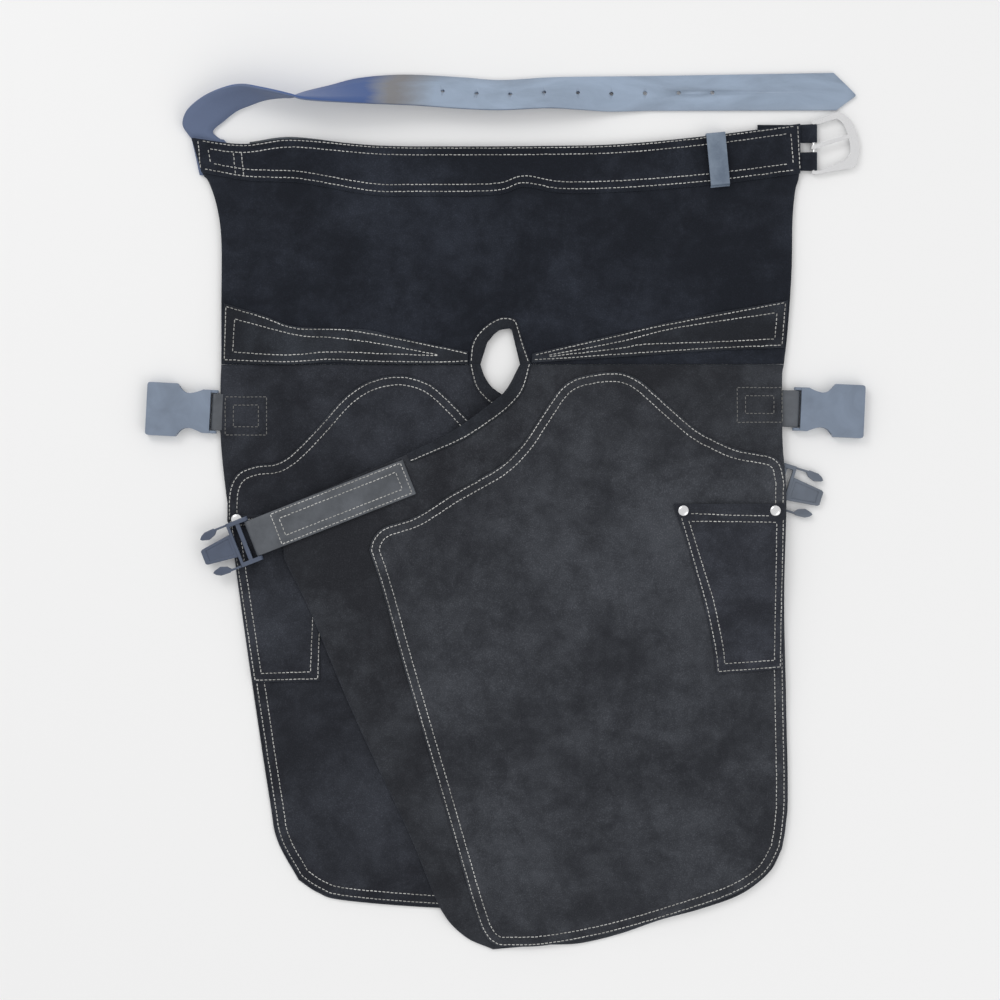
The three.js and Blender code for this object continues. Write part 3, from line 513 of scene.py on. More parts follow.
# ---- Yokes --------------------------------------------------------------------------------------------
# A tapering strip of suede on each hip covers the seam between the waist and a leg. Each is sewn all
# round with a double row, which closes to a point towards the crotch.
YOKE_ROWS = {
    "left": [[(-290.5, 157.5), (-227, 155.4), (-180, 158), (-134, 156), (-69, 155.2), (-38, 156.2)],
             [(-281, 165.4), (-227, 162.4), (-180, 165.6), (-120, 163.5), (-69, 161.7)],
             [(-289, 212.6), (-250, 201.2), (-215.8, 189.8), (-157.6, 187.4), (-69, 170.4), (-39, 163.8)],
             [(-280, 199.8), (-215.8, 183.2), (-180, 180.5), (-134, 174.8), (-69, 162.5)],
             [(-290.6, 158), (-289, 212)], [(-282, 165.6), (-280, 199.5)]],
    "right": [[(31, 157.6), (66, 159.6), (120, 163.4), (158.6, 165.9), (215.8, 169.6), (287, 172.6)],
              [(46, 160.8), (120, 169.4), (145, 173.4), (215.8, 175.9), (280, 179)],
              [(32, 162.6), (80, 173.6), (120, 182.8), (149.2, 189.8), (197, 199.2), (235.6, 206.2),
               (290.5, 216.6)],
              [(46, 162.4), (120, 176.3), (177.8, 190.4), (280.5, 206)],
              [(287.8, 173), (291.4, 216)], [(280.4, 179.5), (282.6, 206)]],
}
yoke_cuts = {
    "left": (edge([(-292, 154.6), (-227, 152.7), (-180, 155.2), (-134, 153.4), (-38, 153.4)]),
             edge([(-291, 216), (-250, 203.6), (-216, 192), (-146, 189), (-111, 181), (-38, 166)])),
    "right": (edge([(28, 154.6), (120, 160.4), (216, 167), (290, 170)]),
              edge([(29, 164), (120, 185), (197, 202), (294, 219)])),
}
YOKE_SUEDE = suede("yoke_suede", (0.0165, 0.0185, 0.0240), (0.040, 0.046, 0.058), 11.0, (1.7, 0.4, 0), 0.34,
                   0.84)
for hand, (foot, top) in yoke_cuts.items():
    yoke_grid = patch(foot, top, np.stack([foot[0], top[0]]), np.stack([foot[-1], top[-1]]), 2.6)
    yoke = ply(hand + "_yoke_leather", yoke_grid, waist_under, 1)
    stands_for(yoke, hand + "_yoke", "waist", YOKE_SUEDE)
    yoke_seams = sew(hand + "_yoke_stitching", [edge(row) for row in YOKE_ROWS[hand]],
                     face_of(waist_under, 1),
                     seed=23 + len(hand))
    stands_for(yoke_seams, None, "waist", THREAD)

# ---- Crotch binding, waist part -----------------------------------------------------------------------
# A strip of suede is folded round the edge of the crotch opening and sewn with one row. Its arch stays
# on the waist; its two ends run down the legs, and are made with them.
BINDING_OUT = [(-36.5, 152.7), (-33.5, 175), (-22.5, 190.5), (-7, 200.5), (3, 201.5), (12.5, 197.5),
               (19.5, 175),
               (27.5, 152.7)]
BINDING_IN = [(-25, 152.7), (-18, 175), (-7, 187), (1, 190.5), (7, 190), (11.5, 178), (16, 152.7)]
arch_in, arch_out = edge(BINDING_IN), edge(BINDING_OUT)
arch_grid = patch(arch_in, arch_out, np.stack([arch_in[0], arch_out[0]]),
                  np.stack([arch_in[-1], arch_out[-1]]), 2)
arch = ply("crotch_arch_binding", arch_grid, waist_under, 1)
stands_for(arch, "waist_binding", "waist", YOKE_SUEDE)
arch_seam = sew("crotch_arch_stitching", [inset(arch_out[2:-2], -1.6)], face_of(waist_under, 1), seed=31)
stands_for(arch_seam, None, "waist", THREAD)

# ---- Left leg -----------------------------------------------------------------------------------------
# A single suede panel seamed to the waist at the hip line, its grid rows packed there for a fold. A thigh
# patch and a tool pocket are sewn on with double rows, and the pocket's corners are riveted.
WASHER_ROOM = 1.3
TAB_SIDE = ([-480, -120, -60, 30, 76, 105, 128, 200], [0, 0, WASHER_ROOM, WASHER_ROOM, 3.3, 3.3, 3.3, 3.3])
CROTCH_SIDE = ([-480, -120, -60, 30, 76, 105, 128, 200],
               [0, 0, WASHER_ROOM, WASHER_ROOM, WASHER_ROOM, WASHER_ROOM, 3.3, 3.3])


def eased(y, table):
    """A height read from a table of places and heights, averaged over 8 mm so that its corners are soft."""
    return sum(np.interp(y + shift, *table) for shift in (-4, -2, 0, 2, 4)) / 5


def left_under(x, y):
    """Underside of the left leg: on the table, over its washers and its tab, and up to the hip seam."""
    share = np.clip((x + 200) / 50, 0, 1)
    return eased(y, TAB_SIDE) * (1 - share) + eased(y, CROTCH_SIDE) * share + slack(x, y)


LEFT_OUTER = [(-294, HIP_Y), (-295, 126), (-294, 64), (-283, -30), (-266, -154), (-244, -300),
              (-236, -342), (-214, -383)]
LEFT_HEM = [(-214, -383), (-194, -396), (-167, -404), (-67, -412), (30, -412)]
LEFT_INNER = [(30, -412), (105, -280), (150, -180), (195, -70), (236, 17)]
LEFT_WING = [(-2, 121), (40, 117), (90, 108), (150, 93), (250, 63)]
LEFT_CROTCH = [(-25, HIP_Y), (-21, 141), (-14, 130), (-2, 121)]
left_grid = patch(edge(LEFT_HEM), edge([(-294, HIP_Y), (-25, HIP_Y)], LEFT_CROTCH, LEFT_WING),
                  edge(LEFT_OUTER)[::-1], edge(LEFT_INNER, [(236, 17), (250, 63)]), hinge=True)
LEFT_SUEDE = suede("left_leg_suede", (0.0175, 0.0192, 0.0255), (0.047, 0.052, 0.066), 8.0, (2.3, 0.9, 0),
                   0.32, 0.82)
left_leg = ply("left_leg_leather", left_grid, left_under)
stands_for(left_leg, "left_leg_panel", ("left_leg",), LEFT_SUEDE)

LEFT_PATCH_TOP = [(-288, -10), (-286.5, 22), (-277, 40), (-259, 48), (-236, 51), (-218, 63), (-192, 90),
                  (-169, 116), (-146, 133), (-122, 140.5), (-99, 140.5), (-76, 132), (-57, 116), (-37, 95)]
LEFT_PATCH_SIDE = [(-212, -380), (-233, -341), (-241, -300), (-263, -154), (-280, -30), (-288, -10)]
LEFT_PATCH_HEM = [(-212, -380), (-192, -393), (-165, -401), (-67, -409), (10, -408)]
left_patch_grid = patch(edge(LEFT_PATCH_HEM), edge(LEFT_PATCH_TOP), edge(LEFT_PATCH_SIDE),
                        edge([(10, -408), (20, -200), (-37, 95)]))
left_patch = ply("left_patch_leather", left_patch_grid, left_under, 1)
stands_for(left_patch, "left_thigh_patch", "left_leg", LEFT_SUEDE)
left_patch_rim = np.vstack([edge(LEFT_PATCH_HEM)[::-1], edge(LEFT_PATCH_SIDE), edge(LEFT_PATCH_TOP)])
left_patch_seams = sew("left_patch_stitching", [inset(left_patch_rim, -2.2), inset(left_patch_rim, -10.0)],
                       face_of(left_under, 1), seed=41)
stands_for(left_patch_seams, None, "left_leg", THREAD)

LEFT_POCKET_SIDE = [(-260.5, -177.5), (-285, -4)]
left_pocket_grid = patch(edge([(-260.5, -177.5), (-192, -176)]), edge([(-285, -1), (-172, -1)]),
                         edge(LEFT_POCKET_SIDE), edge([(-192, -176), (-190, -90), (-172, -1)]))
left_pocket = ply("left_pocket_leather", left_pocket_grid, left_under, 2)
stands_for(left_pocket, "left_pocket", "left_leg", LEFT_SUEDE)
pocket_rows = [[(-283, -14), (-259, -175), (-194, -173.5)], [(-275.5, -14), (-252.5, -168), (-201.5, -166.4)],
               [(-194, -173.5), (-191.5, -110), (-182, -40)], [(-201.5, -166.4), (-199, -110), (-190, -40)],
               [(-276, -14), (-188, -14)], [(-276, -8), (-187, -8)]]
left_pocket_seams = sew("left_pocket_stitching", [np.array(row) for row in pocket_rows],
                        face_of(left_under, 2),
                        seed=43)
stands_for(left_pocket_seams, None, "left_leg", THREAD)

left_binding_out, left_binding_in = edge([(-36.5, 152.7), (-31, 131), (-22, 118), (-12, 110)]), edge(
    [(-25, 152.7), (-21, 141), (-14, 130), (-3, 120)])
binding_grid = patch(left_binding_out, left_binding_in, np.stack([left_binding_out[0], left_binding_in[0]]),
                     np.stack([left_binding_out[-1], left_binding_in[-1]]), 2)
left_binding = ply("left_crotch_binding", binding_grid, left_under, 1)
stands_for(left_binding, "left_binding", ("left_leg",), YOKE_SUEDE)
left_binding_seam = sew("left_binding_stitching", [inset(left_binding_out, 1.7)], face_of(left_under, 1),
                        seed=47)
stands_for(left_binding_seam, None, ("left_leg",), THREAD)

# ---- Right leg ----------------------------------------------------------------------------------------
# The other leg's panel, crossed over the first one. Its patch runs from a high arch down to the hem, and
# its pocket hangs a little open between two rivets.
POCKET_STACK = 3 * PLY_STEP
RIVET_STACK = 9.2
RIGHT_DRAPE = ([-480, -438, -417, -205, -182, -120, -45, 105, 128, HIP_Y, 200],
               [0, 0, 2 * PLY_STEP, 2 * PLY_STEP, POCKET_STACK, POCKET_STACK, RIVET_STACK, RIVET_STACK, 6.9,
                3.3, 3.3])


def right_under(x, y):
    """Underside of the right leg: over the left leg's plies and rivets, down to the table at its hem."""
    return eased(y, RIGHT_DRAPE) + slack(x, y)


RIGHT_CROTCH = [(-106, 57), (-65, 77), (-38, 94), (-2, 122), (16, HIP_Y)]
RIGHT_INNER = [(-228, -50), (-202, -103), (-154, -217), (-99, -335), (-67, -411), (-42, -441), (-12, -455)]
RIGHT_HEM = [(-12, -455), (40, -450.5), (79, -448.5), (120, -438.8), (162, -424), (203, -412.5),
             (245, -397.3),
             (275, -374), (288, -350)]
RIGHT_OUTER = [(288, -350), (292, -325), (294, -279), (290, -92), (292, 12), (288, 74), (288, 137),
               (290, HIP_Y)]
right_grid = patch(
    edge(RIGHT_HEM), edge([(-234, 3), (-106, 57)], RIGHT_CROTCH, [(16, HIP_Y), (290, HIP_Y)]),
    edge([(-234, 3), (-228, -50)], RIGHT_INNER)[::-1], edge(RIGHT_OUTER), hinge=True)
RIGHT_SUEDE = suede("right_leg_suede", (0.0205, 0.0218, 0.0270), (0.056, 0.061, 0.072), 7.0, (4.1, 0.2, 0),
                    0.32,
                    0.82)
right_leg = ply("right_leg_leather", right_grid, right_under)
stands_for(right_leg, "right_leg_panel", ("right_leg",), RIGHT_SUEDE)

RIGHT_PATCH_TOP = [(-140, -40), (-136, -27), (-124, -16), (-92, -5), (-57, 17), (-26, 34.6), (-3, 48.5),
                   (19, 71),
                   (39, 101), (57, 127), (72.5, 138), (92, 143), (111, 145), (126, 143), (143, 134),
                   (168, 111.5),
                   (197, 86.5), (216, 75.5), (240, 65), (264, 60.5), (278, 57), (287, 48), (291, 29.6)]
RIGHT_PATCH_SIDE = [(286, -350), (290, -325), (292, -279), (288.5, -92), (290.5, 12), (291, 29.6)]
RIGHT_PATCH_HEM = [(-6, -452), (42, -450.5), (113, -437), (199, -411), (243, -394.5), (271, -375),
                   (286, -350)]
RIGHT_PATCH_INNER = [(-6, -452), (-19, -442), (-31, -413), (-63, -303), (-108, -148), (-128, -76),
                     (-140, -40)]
right_patch_grid = patch(edge(RIGHT_PATCH_HEM), edge(RIGHT_PATCH_TOP), edge(RIGHT_PATCH_INNER),
                         edge(RIGHT_PATCH_SIDE))
PATCH_SUEDE = suede("patch_suede", (0.0260, 0.0280, 0.0345), (0.074, 0.080, 0.094), 5.2, (0.9, 3.6, 0), 0.30,
                    0.80)
right_patch = ply("right_patch_leather", right_patch_grid, right_under, 1)
stands_for(right_patch, "right_thigh_patch", "right_leg", PATCH_SUEDE)
right_patch_rim = np.vstack([edge(RIGHT_PATCH_SIDE)[::-1], edge(RIGHT_PATCH_HEM)[::-1],
                             edge(RIGHT_PATCH_INNER),
                             edge(RIGHT_PATCH_TOP)])
right_patch_seams = sew("right_patch_stitching", [inset(right_patch_rim, -2.2),
                                                  inset(right_patch_rim, -10.0)],
                        face_of(right_under, 1), seed=53)
stands_for(right_patch_seams, None, "right_leg", THREAD)

GAPE = 6.0  # how far the pocket's mouth stands open


def pocket_under(x, y):
    """Over the patch, lifted in a bow between the rivets that dies away towards the pocket's foot."""
    bow = np.sin(np.pi * np.clip((x - 190) / 84, 0, 1)) ** 2
    return right_under(x, y) + GAPE * bow * np.clip((y + 125) / 135, 0, 1) ** 1.5


right_pocket_grid = patch(edge([(219.5, -168), (287, -163)]), edge([(175, 8), (290, 8)]),
                          edge([(219.5, -168), (218, -155), (212, -119), (191, -40), (178, -4), (175, 8)]),
                          edge([(287, -163), (288, -92), (290, 8)]), 2.8)
POCKET_SUEDE = suede("pocket_suede", (0.0250, 0.0272, 0.0355), (0.062, 0.068, 0.086), 10.0, (6.1, 2.2, 0),
                     0.32,
                     0.82)
right_pocket = ply("right_pocket_leather", right_pocket_grid, pocket_under, 2, 0.3)
stands_for(right_pocket, "right_pocket", "right_leg", POCKET_SUEDE)
mouth_rows = [[(192, -2), (232, -3.5), (274, -4.5)], [(193, -10.0), (232, -10.2), (281, -11)],
              edge([(183, -6), (199.2, -62), (211, -104), (219.4, -146), (221.5, -165.6)]),
              edge([(190.5, -9), (205.6, -58), (217.3, -96.5), (225.8, -138), (228, -157.4)]),
              [(221.5, -165.6), (285.6, -160.8)], [(228, -157.4), (279.6, -154)],
              edge([(285.6, -160.8), (286.6, -92), (288.2, -8)]), edge([(279.6, -154), (280.4, -92),
                                                                        (281.4, -12)])]
right_pocket_seams = sew("right_pocket_stitching", [np.array(row) for row in mouth_rows],
                         lambda x, y: face_of(pocket_under, 2)(x, y) + 0.3, seed=59)
stands_for(right_pocket_seams, None, "right_leg", THREAD)

right_binding_out = edge([(27.5, 152.7), (19.5, 126), (5, 108), (-15, 92.5), (-41, 75.5), (-71, 62),
                          (-97, 51)])
right_binding_in = edge([(16, 152.7), (10, 137), (-2, 122), (-38, 94), (-65, 77), (-92, 64), (-101, 60)])
binding_grid = patch(right_binding_out[::-1], right_binding_in[::-1],
                     np.stack([right_binding_out[-1], right_binding_in[-1]]),
                     np.stack([right_binding_out[0], right_binding_in[0]]), 2)
right_binding = ply("right_crotch_binding", binding_grid, right_under, 1)
stands_for(right_binding, "right_binding", ("right_leg",), YOKE_SUEDE)
right_binding_seam = sew("right_binding_stitching", [inset(right_binding_out, -1.7)], face_of(right_under, 1),
                         seed=61)
stands_for(right_binding_seam, None, ("right_leg",), THREAD)

# ---- Rivets -------------------------------------------------------------------------------------------
# Nickel-plated tubular rivets clench the corners of both pockets: a domed cap outside, a washer inside.
# The washers are hidden under the legs and keep their plain turned shape.
CAP_RADIUS, CAP_HEIGHT, SHANK_RADIUS = 5.6, 2.2, 1.6
RIVETS = {"left_outer": (-278, -8), "left_inner": (-181, -8), "right_inner": (185, 1),
          "right_outer": (280, 1)}


def metal(name, color, roughness, scratch=900.0):
    """Plated metal: bright, with fine scuffs that dull it and a slow waviness from handling."""
    material, tree, shader = material_of(name, color, roughness, Metallic=1.0)
    place = node(tree, "ShaderNodeTexCoord")
    scuffs = node(tree, "ShaderNodeTexNoise", Scale=scratch, Detail=5.0, Roughness=0.7, Distortion=1.5)
    tree.links.new(place.outputs["Object"], scuffs.inputs["Vector"])
    dull = node(tree, "ShaderNodeMapRange", From_Min=0.35, From_Max=0.75, To_Min=roughness - 0.08,
                To_Max=roughness + 0.16)
    tree.links.new(scuffs.outputs["Fac"], dull.inputs["Value"])
    tree.links.new(dull.outputs["Result"], shader.inputs["Roughness"])
    tone = tuple(0.8 * c for c in color)
    tree.links.new(mixed(tree, scuffs.outputs["Fac"], color, tone), shader.inputs["Base Color"])
    bump = node(tree, "ShaderNodeBump", Strength=0.08, Distance=0.0003)
    tree.links.new(scuffs.outputs["Fac"], bump.inputs["Height"])
    tree.links.new(bump.outputs["Normal"], shader.inputs["Normal"])
    return material


NICKEL = metal("nickel_plate", (0.86, 0.86, 0.87), 0.24)


def turned(name, spot, base, profile, sides=36):
    """A surface of revolution: a profile of (radius, height) pairs turned about the upright through spot."""
    angle = np.linspace(0, 2 * np.pi, sides, endpoint=False)
    radius, height = np.array(profile, float).T
    x = spot[0] + radius[:, None] * np.cos(angle)
    y = spot[1] + radius[:, None] * np.sin(angle)
    z = base + np.repeat(height[:, None], sides, axis=1)
    points = np.stack([x, y, z], -1).reshape(-1, 3)
    k, j = np.arange(len(profile) - 1)[:, None] * sides, np.arange(sides)[None]
    after = (j + 1) % sides
    quads = np.stack([k + j, k + after, k + sides + after, k + sides + j], -1).reshape(-1, 4)
    last = (len(profile) - 1) * sides
    ends = [list(range(sides))[::-1], list(range(last, last + sides))]
    return mesh_object(name, points, quads.tolist() + ends)


swell = np.linspace(0, np.pi / 2, 9)[:-1]
CAP_PROFILE = [(SHANK_RADIUS, -4.5), (SHANK_RADIUS, 0.02), (CAP_RADIUS - 0.5, 0), (CAP_RADIUS, 0.25)] + [
    (CAP_RADIUS * math.cos(a) ** 0.8, 0.45 + (CAP_HEIGHT - 0.45) * math.sin(a)) for a in swell] + [
    (0.3, CAP_HEIGHT)]
for name, spot in RIVETS.items():
    leg_side, place = name.split("_")
    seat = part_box(name + "_rivet_cap")[1][2] / MM - CAP_HEIGHT
    cap = turned(name + "_rivet_dome", spot, seat, CAP_PROFILE)
    stands_for(cap, name + "_rivet_cap", leg_side + "_leg", NICKEL)
    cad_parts[name + "_rivet_washer"].material_slots[0].material = NICKEL

# ---- Tabs and leg straps ------------------------------------------------------------------------------
# Straps of smooth 38 mm leather are doubled round the buckles' bars. The two short tabs are sewn behind
# the legs' edges, and the two long straps are sewn to the legs with a double box of stitching.
STRAP_WIDTH, STRAP_PLY, BAR_RADIUS, BAR_ROOM = 38.0, 1.5, 1.5, 0.4
TAB_LENGTH, LEG_STRAP_LENGTH = 52.0, 175.0
SECTION = np.array([(-1, 0, 0), (-1, 0.15, 0.36), (-1, 0.5, 0.5), (-0.5, 0, 0.5), (0, 0, 0.5), (0.5, 0, 0.5),
                    (1, -0.5, 0.5), (1, -0.15, 0.36), (1, 0, 0), (1, -0.15, -0.36), (1, -0.5, -0.5),
                    (0.5, 0, -0.5), (0, 0, -0.5), (-0.5, 0, -0.5), (-1, 0.5, -0.5), (-1, 0.15, -0.36)])


def ribbon(name, near, far, thick):
    """A strap: an eased rectangle carried along between two edge curves, its faces square to both of them.

    A section point is a share of the half width, a step in from that edge in mm, and a share of thick.
    """
    near, far = np.asarray(near, float), np.asarray(far, float)
    middle, half = (near + far) / 2, (far - near) / 2
    way = np.gradient(middle, axis=0)
    face = np.cross(way, half)
    face /= np.linalg.norm(face, axis=1)[:, None]
    side = half / np.linalg.norm(half, axis=1)[:, None]
    share, step, height = SECTION.T
    points = (middle[:, None] + half[:, None] * share[None, :, None] + side[:, None] * step[None, :, None]
              + face[:, None] * (thick * height)[None, :, None])
    count = len(SECTION)
    k, j = np.arange(len(middle) - 1)[:, None] * count, np.arange(count)[None]
    after = (j + 1) % count
    quads = np.stack([k + j, k + after, k + count + after, k + count + j], -1).reshape(-1, 4)
    last = (len(middle) - 1) * count
    ends = [list(range(count))[::-1], list(range(last, last + count))]
    return mesh_object(name, points.reshape(-1, 3), quads.tolist() + ends)


def placed(points, spot, degrees):
    """Points of a buckle's own frame, whose bar lies along its Y, turned and moved to where it lies."""
    c, s = math.cos(math.radians(degrees)), math.sin(math.radians(degrees))
    p = np.asarray(points, float)
    return np.stack([spot[0] + c * p[..., 0] - s * p[..., 1], spot[1] + s * p[..., 0] + c * p[..., 1],
                     spot[2] + p[..., 2]], -1)


def doubled(name, spot, degrees, length, low, reach, width=STRAP_WIDTH, bar=BAR_RADIUS, ply_thick=STRAP_PLY):
    """A strap doubled round a bar: a lower run, a half turn just clear of the bar, and an upper run back."""
    middle = bar + BAR_ROOM + ply_thick / 2
    run_low, run_high = low + ply_thick / 2, low + 1.5 * ply_thick + 0.04
    turn = np.linspace(-0.62 * np.pi, 0.62 * np.pi, 22)
    path = np.vstack([
        np.stack([np.linspace(-length, -reach - 6, 26), np.full(26, run_low)], -1),
        np.stack([middle * np.cos(turn), middle * np.sin(turn)], -1),
        np.stack([np.linspace(-reach - 6, -length, 26), np.full(26, run_high)], -1),
    ])
    path = evenly(path, np.linspace(0, 1, 150))
    path[2:-2] = (path[:-4] + path[1:-3] + path[2:-2] + path[3:-1] + path[4:]) / 5
    edges = [np.stack([path[:, 0], np.full(len(path), y), path[:, 1]], -1) for y in (-width / 2, width / 2)]
    edges = [placed(e, spot, degrees) for e in edges]
    for e in edges:
        e[:, 2] += slack(e[:, 0], e[:, 1])
    return ribbon(name, *edges, ply_thick)


STRAP_LEATHER = smooth_leather("strap_leather", (0.052, 0.058, 0.068), (0.105, 0.115, 0.132), 0.46, 700.0,
                               24.0)
SOCKETS = {"left": ((-301.2, 103.5, 5), 177, -5.0, 5), "right": ((303, 106.5, 5), -2.5, -1.4, 8)}
for hand, (spot, degrees, low, reach) in SOCKETS.items():
    tab = doubled(hand + "_tab_leather", spot, degrees, TAB_LENGTH, low, reach)
    stands_for(tab, hand + "_tab", hand + "_leg", STRAP_LEATHER)


def box_of(left, right, low, high):
    """The four sides of a stitched box, each its own row."""
    corners = [(left, low), (right, low), (right, high), (left, high), (left, low)]
    return [np.array(corners[k : k + 2], float) for k in range(4)]


TAB_BOXES = {"left": ([(-290, 79.5, -247, 119), (-281.5, 88, -255.5, 110.5)], left_under, 0),
             "right": ([(241, 92.5, 287.5, 128.5), (249.4, 101.6, 279, 120)], right_under, 0)}
for hand, (boxes, under, level) in TAB_BOXES.items():
    rows = [row for x0, y0, x1, y1 in boxes for row in box_of(x0, x1, y0, y1)]
    tab_seams = sew(hand + "_tab_stitching", rows, face_of(under, level), thick=0.45, seed=67 + len(hand))
    stands_for(tab_seams, None, hand + "_leg", DIM_THREAD)

PLUGS = {"left": ((277.4, 29.6, 3.5), -17.6, -0.4), "right": ((-261.3, -28.1, 12.7), 201.5, -1.7)}
for hand, (spot, degrees, low) in PLUGS.items():
    strap = doubled(hand + "_strap_leather", spot, degrees, LEG_STRAP_LENGTH, low, 9)
    stands_for(strap, hand + "_leg_strap", hand + "_leg", STRAP_LEATHER)
    boxes = box_of(-171.5, -27, -16.6, 16.6) + box_of(-163.5, -34, -9.4, 9.4)
    rows = [placed(np.hstack([row, np.zeros((2, 1))]), spot, degrees)[:, :2] for row in boxes]
    top = spot[2] + low + 2 * STRAP_PLY
    strap_seams = sew(hand + "_strap_stitching", rows, lambda x, y: slack(x, y) + top, seed=71 + len(hand))
    stands_for(strap_seams, None, hand + "_leg", THREAD)

# ---- Side-release buckles -----------------------------------------------------------------------------
# Moulded plastic: a hollow socket swings on each tab's bar, and a plug with two sprung arms on each leg
# strap's. Their edges are eased as a mould leaves them, and the faces have a fine spark-eroded grain.


def moulded(name, color, roughness):
    """Moulded plastic: a fine eroded grain in the bump, faint flow marks and rubbed patches in the tone."""
    material, tree, shader = material_of(name, color, roughness, Specular_IOR_Level=0.5, Coat_Weight=0.12,
                                         Coat_Roughness=0.35)
    place = node(tree, "ShaderNodeTexCoord")
    grain = node(tree, "ShaderNodeTexNoise", Scale=2400.0, Detail=2.0, Roughness=0.6)
    flow = node(tree, "ShaderNodeTexNoise", Scale=34.0, Detail=5.0, Roughness=0.6, Distortion=0.9)
    for texture in (grain, flow):
        tree.links.new(place.outputs["Object"], texture.inputs["Vector"])
    spread = node(tree, "ShaderNodeMapRange", From_Min=0.3, From_Max=0.7)
    tree.links.new(flow.outputs["Fac"], spread.inputs["Value"])
    low, high = (tuple(k * c for c in color) for k in (0.88, 1.14))
    tree.links.new(mixed(tree, spread.outputs["Result"], low, high), shader.inputs["Base Color"])
    dull = node(tree, "ShaderNodeMapRange", To_Min=roughness - 0.06, To_Max=roughness + 0.12)
    tree.links.new(flow.outputs["Fac"], dull.inputs["Value"])
    tree.links.new(dull.outputs["Result"], shader.inputs["Roughness"])
    bump = node(tree, "ShaderNodeBump", Strength=0.18, Distance=0.0002)
    tree.links.new(grain.outputs["Fac"], bump.inputs["Height"])
    tree.links.new(bump.outputs["Normal"], shader.inputs["Normal"])
    return material


# Painted reflection: the plastic is black, and these blue-grey colours, palest on the sockets, stand for pale
# light mirrored on it.
SOCKET_PAINTED_REFLECTION = moulded("socket_painted_reflection", (0.170, 0.212, 0.282), 0.40)
DARK_PLUG_PAINTED_REFLECTION = moulded("dark_plug_painted_reflection", (0.060, 0.078, 0.122), 0.34)
PALE_PLUG_PAINTED_REFLECTION = moulded("pale_plug_painted_reflection", (0.105, 0.125, 0.160), 0.36)


def eased_copy(cad_node, name, ease, segments=2):
    """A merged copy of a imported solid, its flat faces made whole again and its edges eased."""
    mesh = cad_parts[cad_node].data.copy()
    mesh.name = name
    mesh.materials.clear()
    shape = bmesh.new()
    shape.from_mesh(mesh)
    bmesh.ops.remove_doubles(shape, verts=shape.verts, dist=0.01 * MM)
    bmesh.ops.dissolve_limit(shape, angle_limit=math.radians(1.5), verts=shape.verts, edges=shape.edges)
    shape.to_mesh(mesh)
    shape.free()
    mesh.shade_smooth()
    piece = bpy.data.objects.new(name, mesh)
    bpy.context.collection.objects.link(piece)
    bevel = piece.modifiers.new("eased_edges", "BEVEL")
    bevel.width = ease * MM
    bevel.segments = segments
    bevel.limit_method = "ANGLE"
    bevel.angle_limit = math.radians(32)
    bevel.harden_normals = True
    return piece


for hand in ("left", "right"):
    socket = eased_copy(hand + "_socket", hand + "_socket_moulding", 0.7, 3)
    stands_for(socket, hand + "_socket", hand + "_socket", SOCKET_PAINTED_REFLECTION)
    finish = DARK_PLUG_PAINTED_REFLECTION if hand == "right" else PALE_PLUG_PAINTED_REFLECTION
    for part in ("plug", "plug_arm_a", "plug_arm_b"):
        moulding = eased_copy(f"{hand}_{part}", f"{hand}_{part}_moulding", 0.45)
        stands_for(moulding, f"{hand}_{part}", f"{hand}_{part}", finish)

# ---- Belt ---------------------------------------------------------------------------------------------
# One long strap of 3 mm leather, sewn under the band's left end. It stands up on edge through its turn,
# shows its flesh side there, and falls grain side up along the band, with nine holes and a pointed end.
BELT_THICK = 3.0
BELT_EDGES = [
    [(-317, 350, 0), (-279, 345, 0)], [(-325, 386, 0), (-288, 381, 0)],
    [(-328, 391, 0.2), (-294, 386, 0)], [(-333.9, 401.6, 7), (-303, 395, 0.3)],
    [(-328.1, 415.6, 13), (-291.8, 405.7, 0.6)], [(-310.6, 428.7, 18), (-277.7, 416.6, 0.8)],
    [(-288.9, 436.4, 25), (-263.8, 422.6, 0.8)], [(-270.4, 438.3, 31), (-250.8, 427.6, 0.6)],
    [(-251.3, 434.6, 35), (-240, 430, 0.3)], [(-233.3, 430.3, 37.5), (-230, 431, 0)],
    [(-217.5, 426.2, 38), (-220, 431.5, 0)], [(-204.7, 422.8, 38), (-206, 436, 0)],
    [(-172.5, 420.8, 35), (-182, 442, 0)], [(-137.3, 419.7, 30), (-150, 450, 0)],
    [(-92.1, 418.7, 24), (-104, 453.5, 0)], [(-45.6, 415.7, 21.5), (-46, 450.9, 0)],
    [(-5, 414.3, 21), (-5, 447.9, 0)], [(44.6, 416.6, 19), (45, 450.7, 0)],
    [(79.5, 415.8, 12), (80, 451.7, 0)], [(109.7, 415.1, 4), (110, 452.2, 0)],
    [(150, 416.5, 0), (150, 452.7, 0)], [(345, 417, 0), (342, 456, 0)],
    [(356, 425.2, 0), (355, 443.5, 0)], [(364.6, 431.4, 0), (364.8, 433.6, 0)],
]
TIP_SPANS = 3  # the last stations stay straight, for a crisp point
HOLES = [-64 + 35 * k for k in range(9)]
HOLE_RADIUS = 2.1
HOLE_SIDES = 8
HOLES_START = -120  # the belt lies flat to the right of here


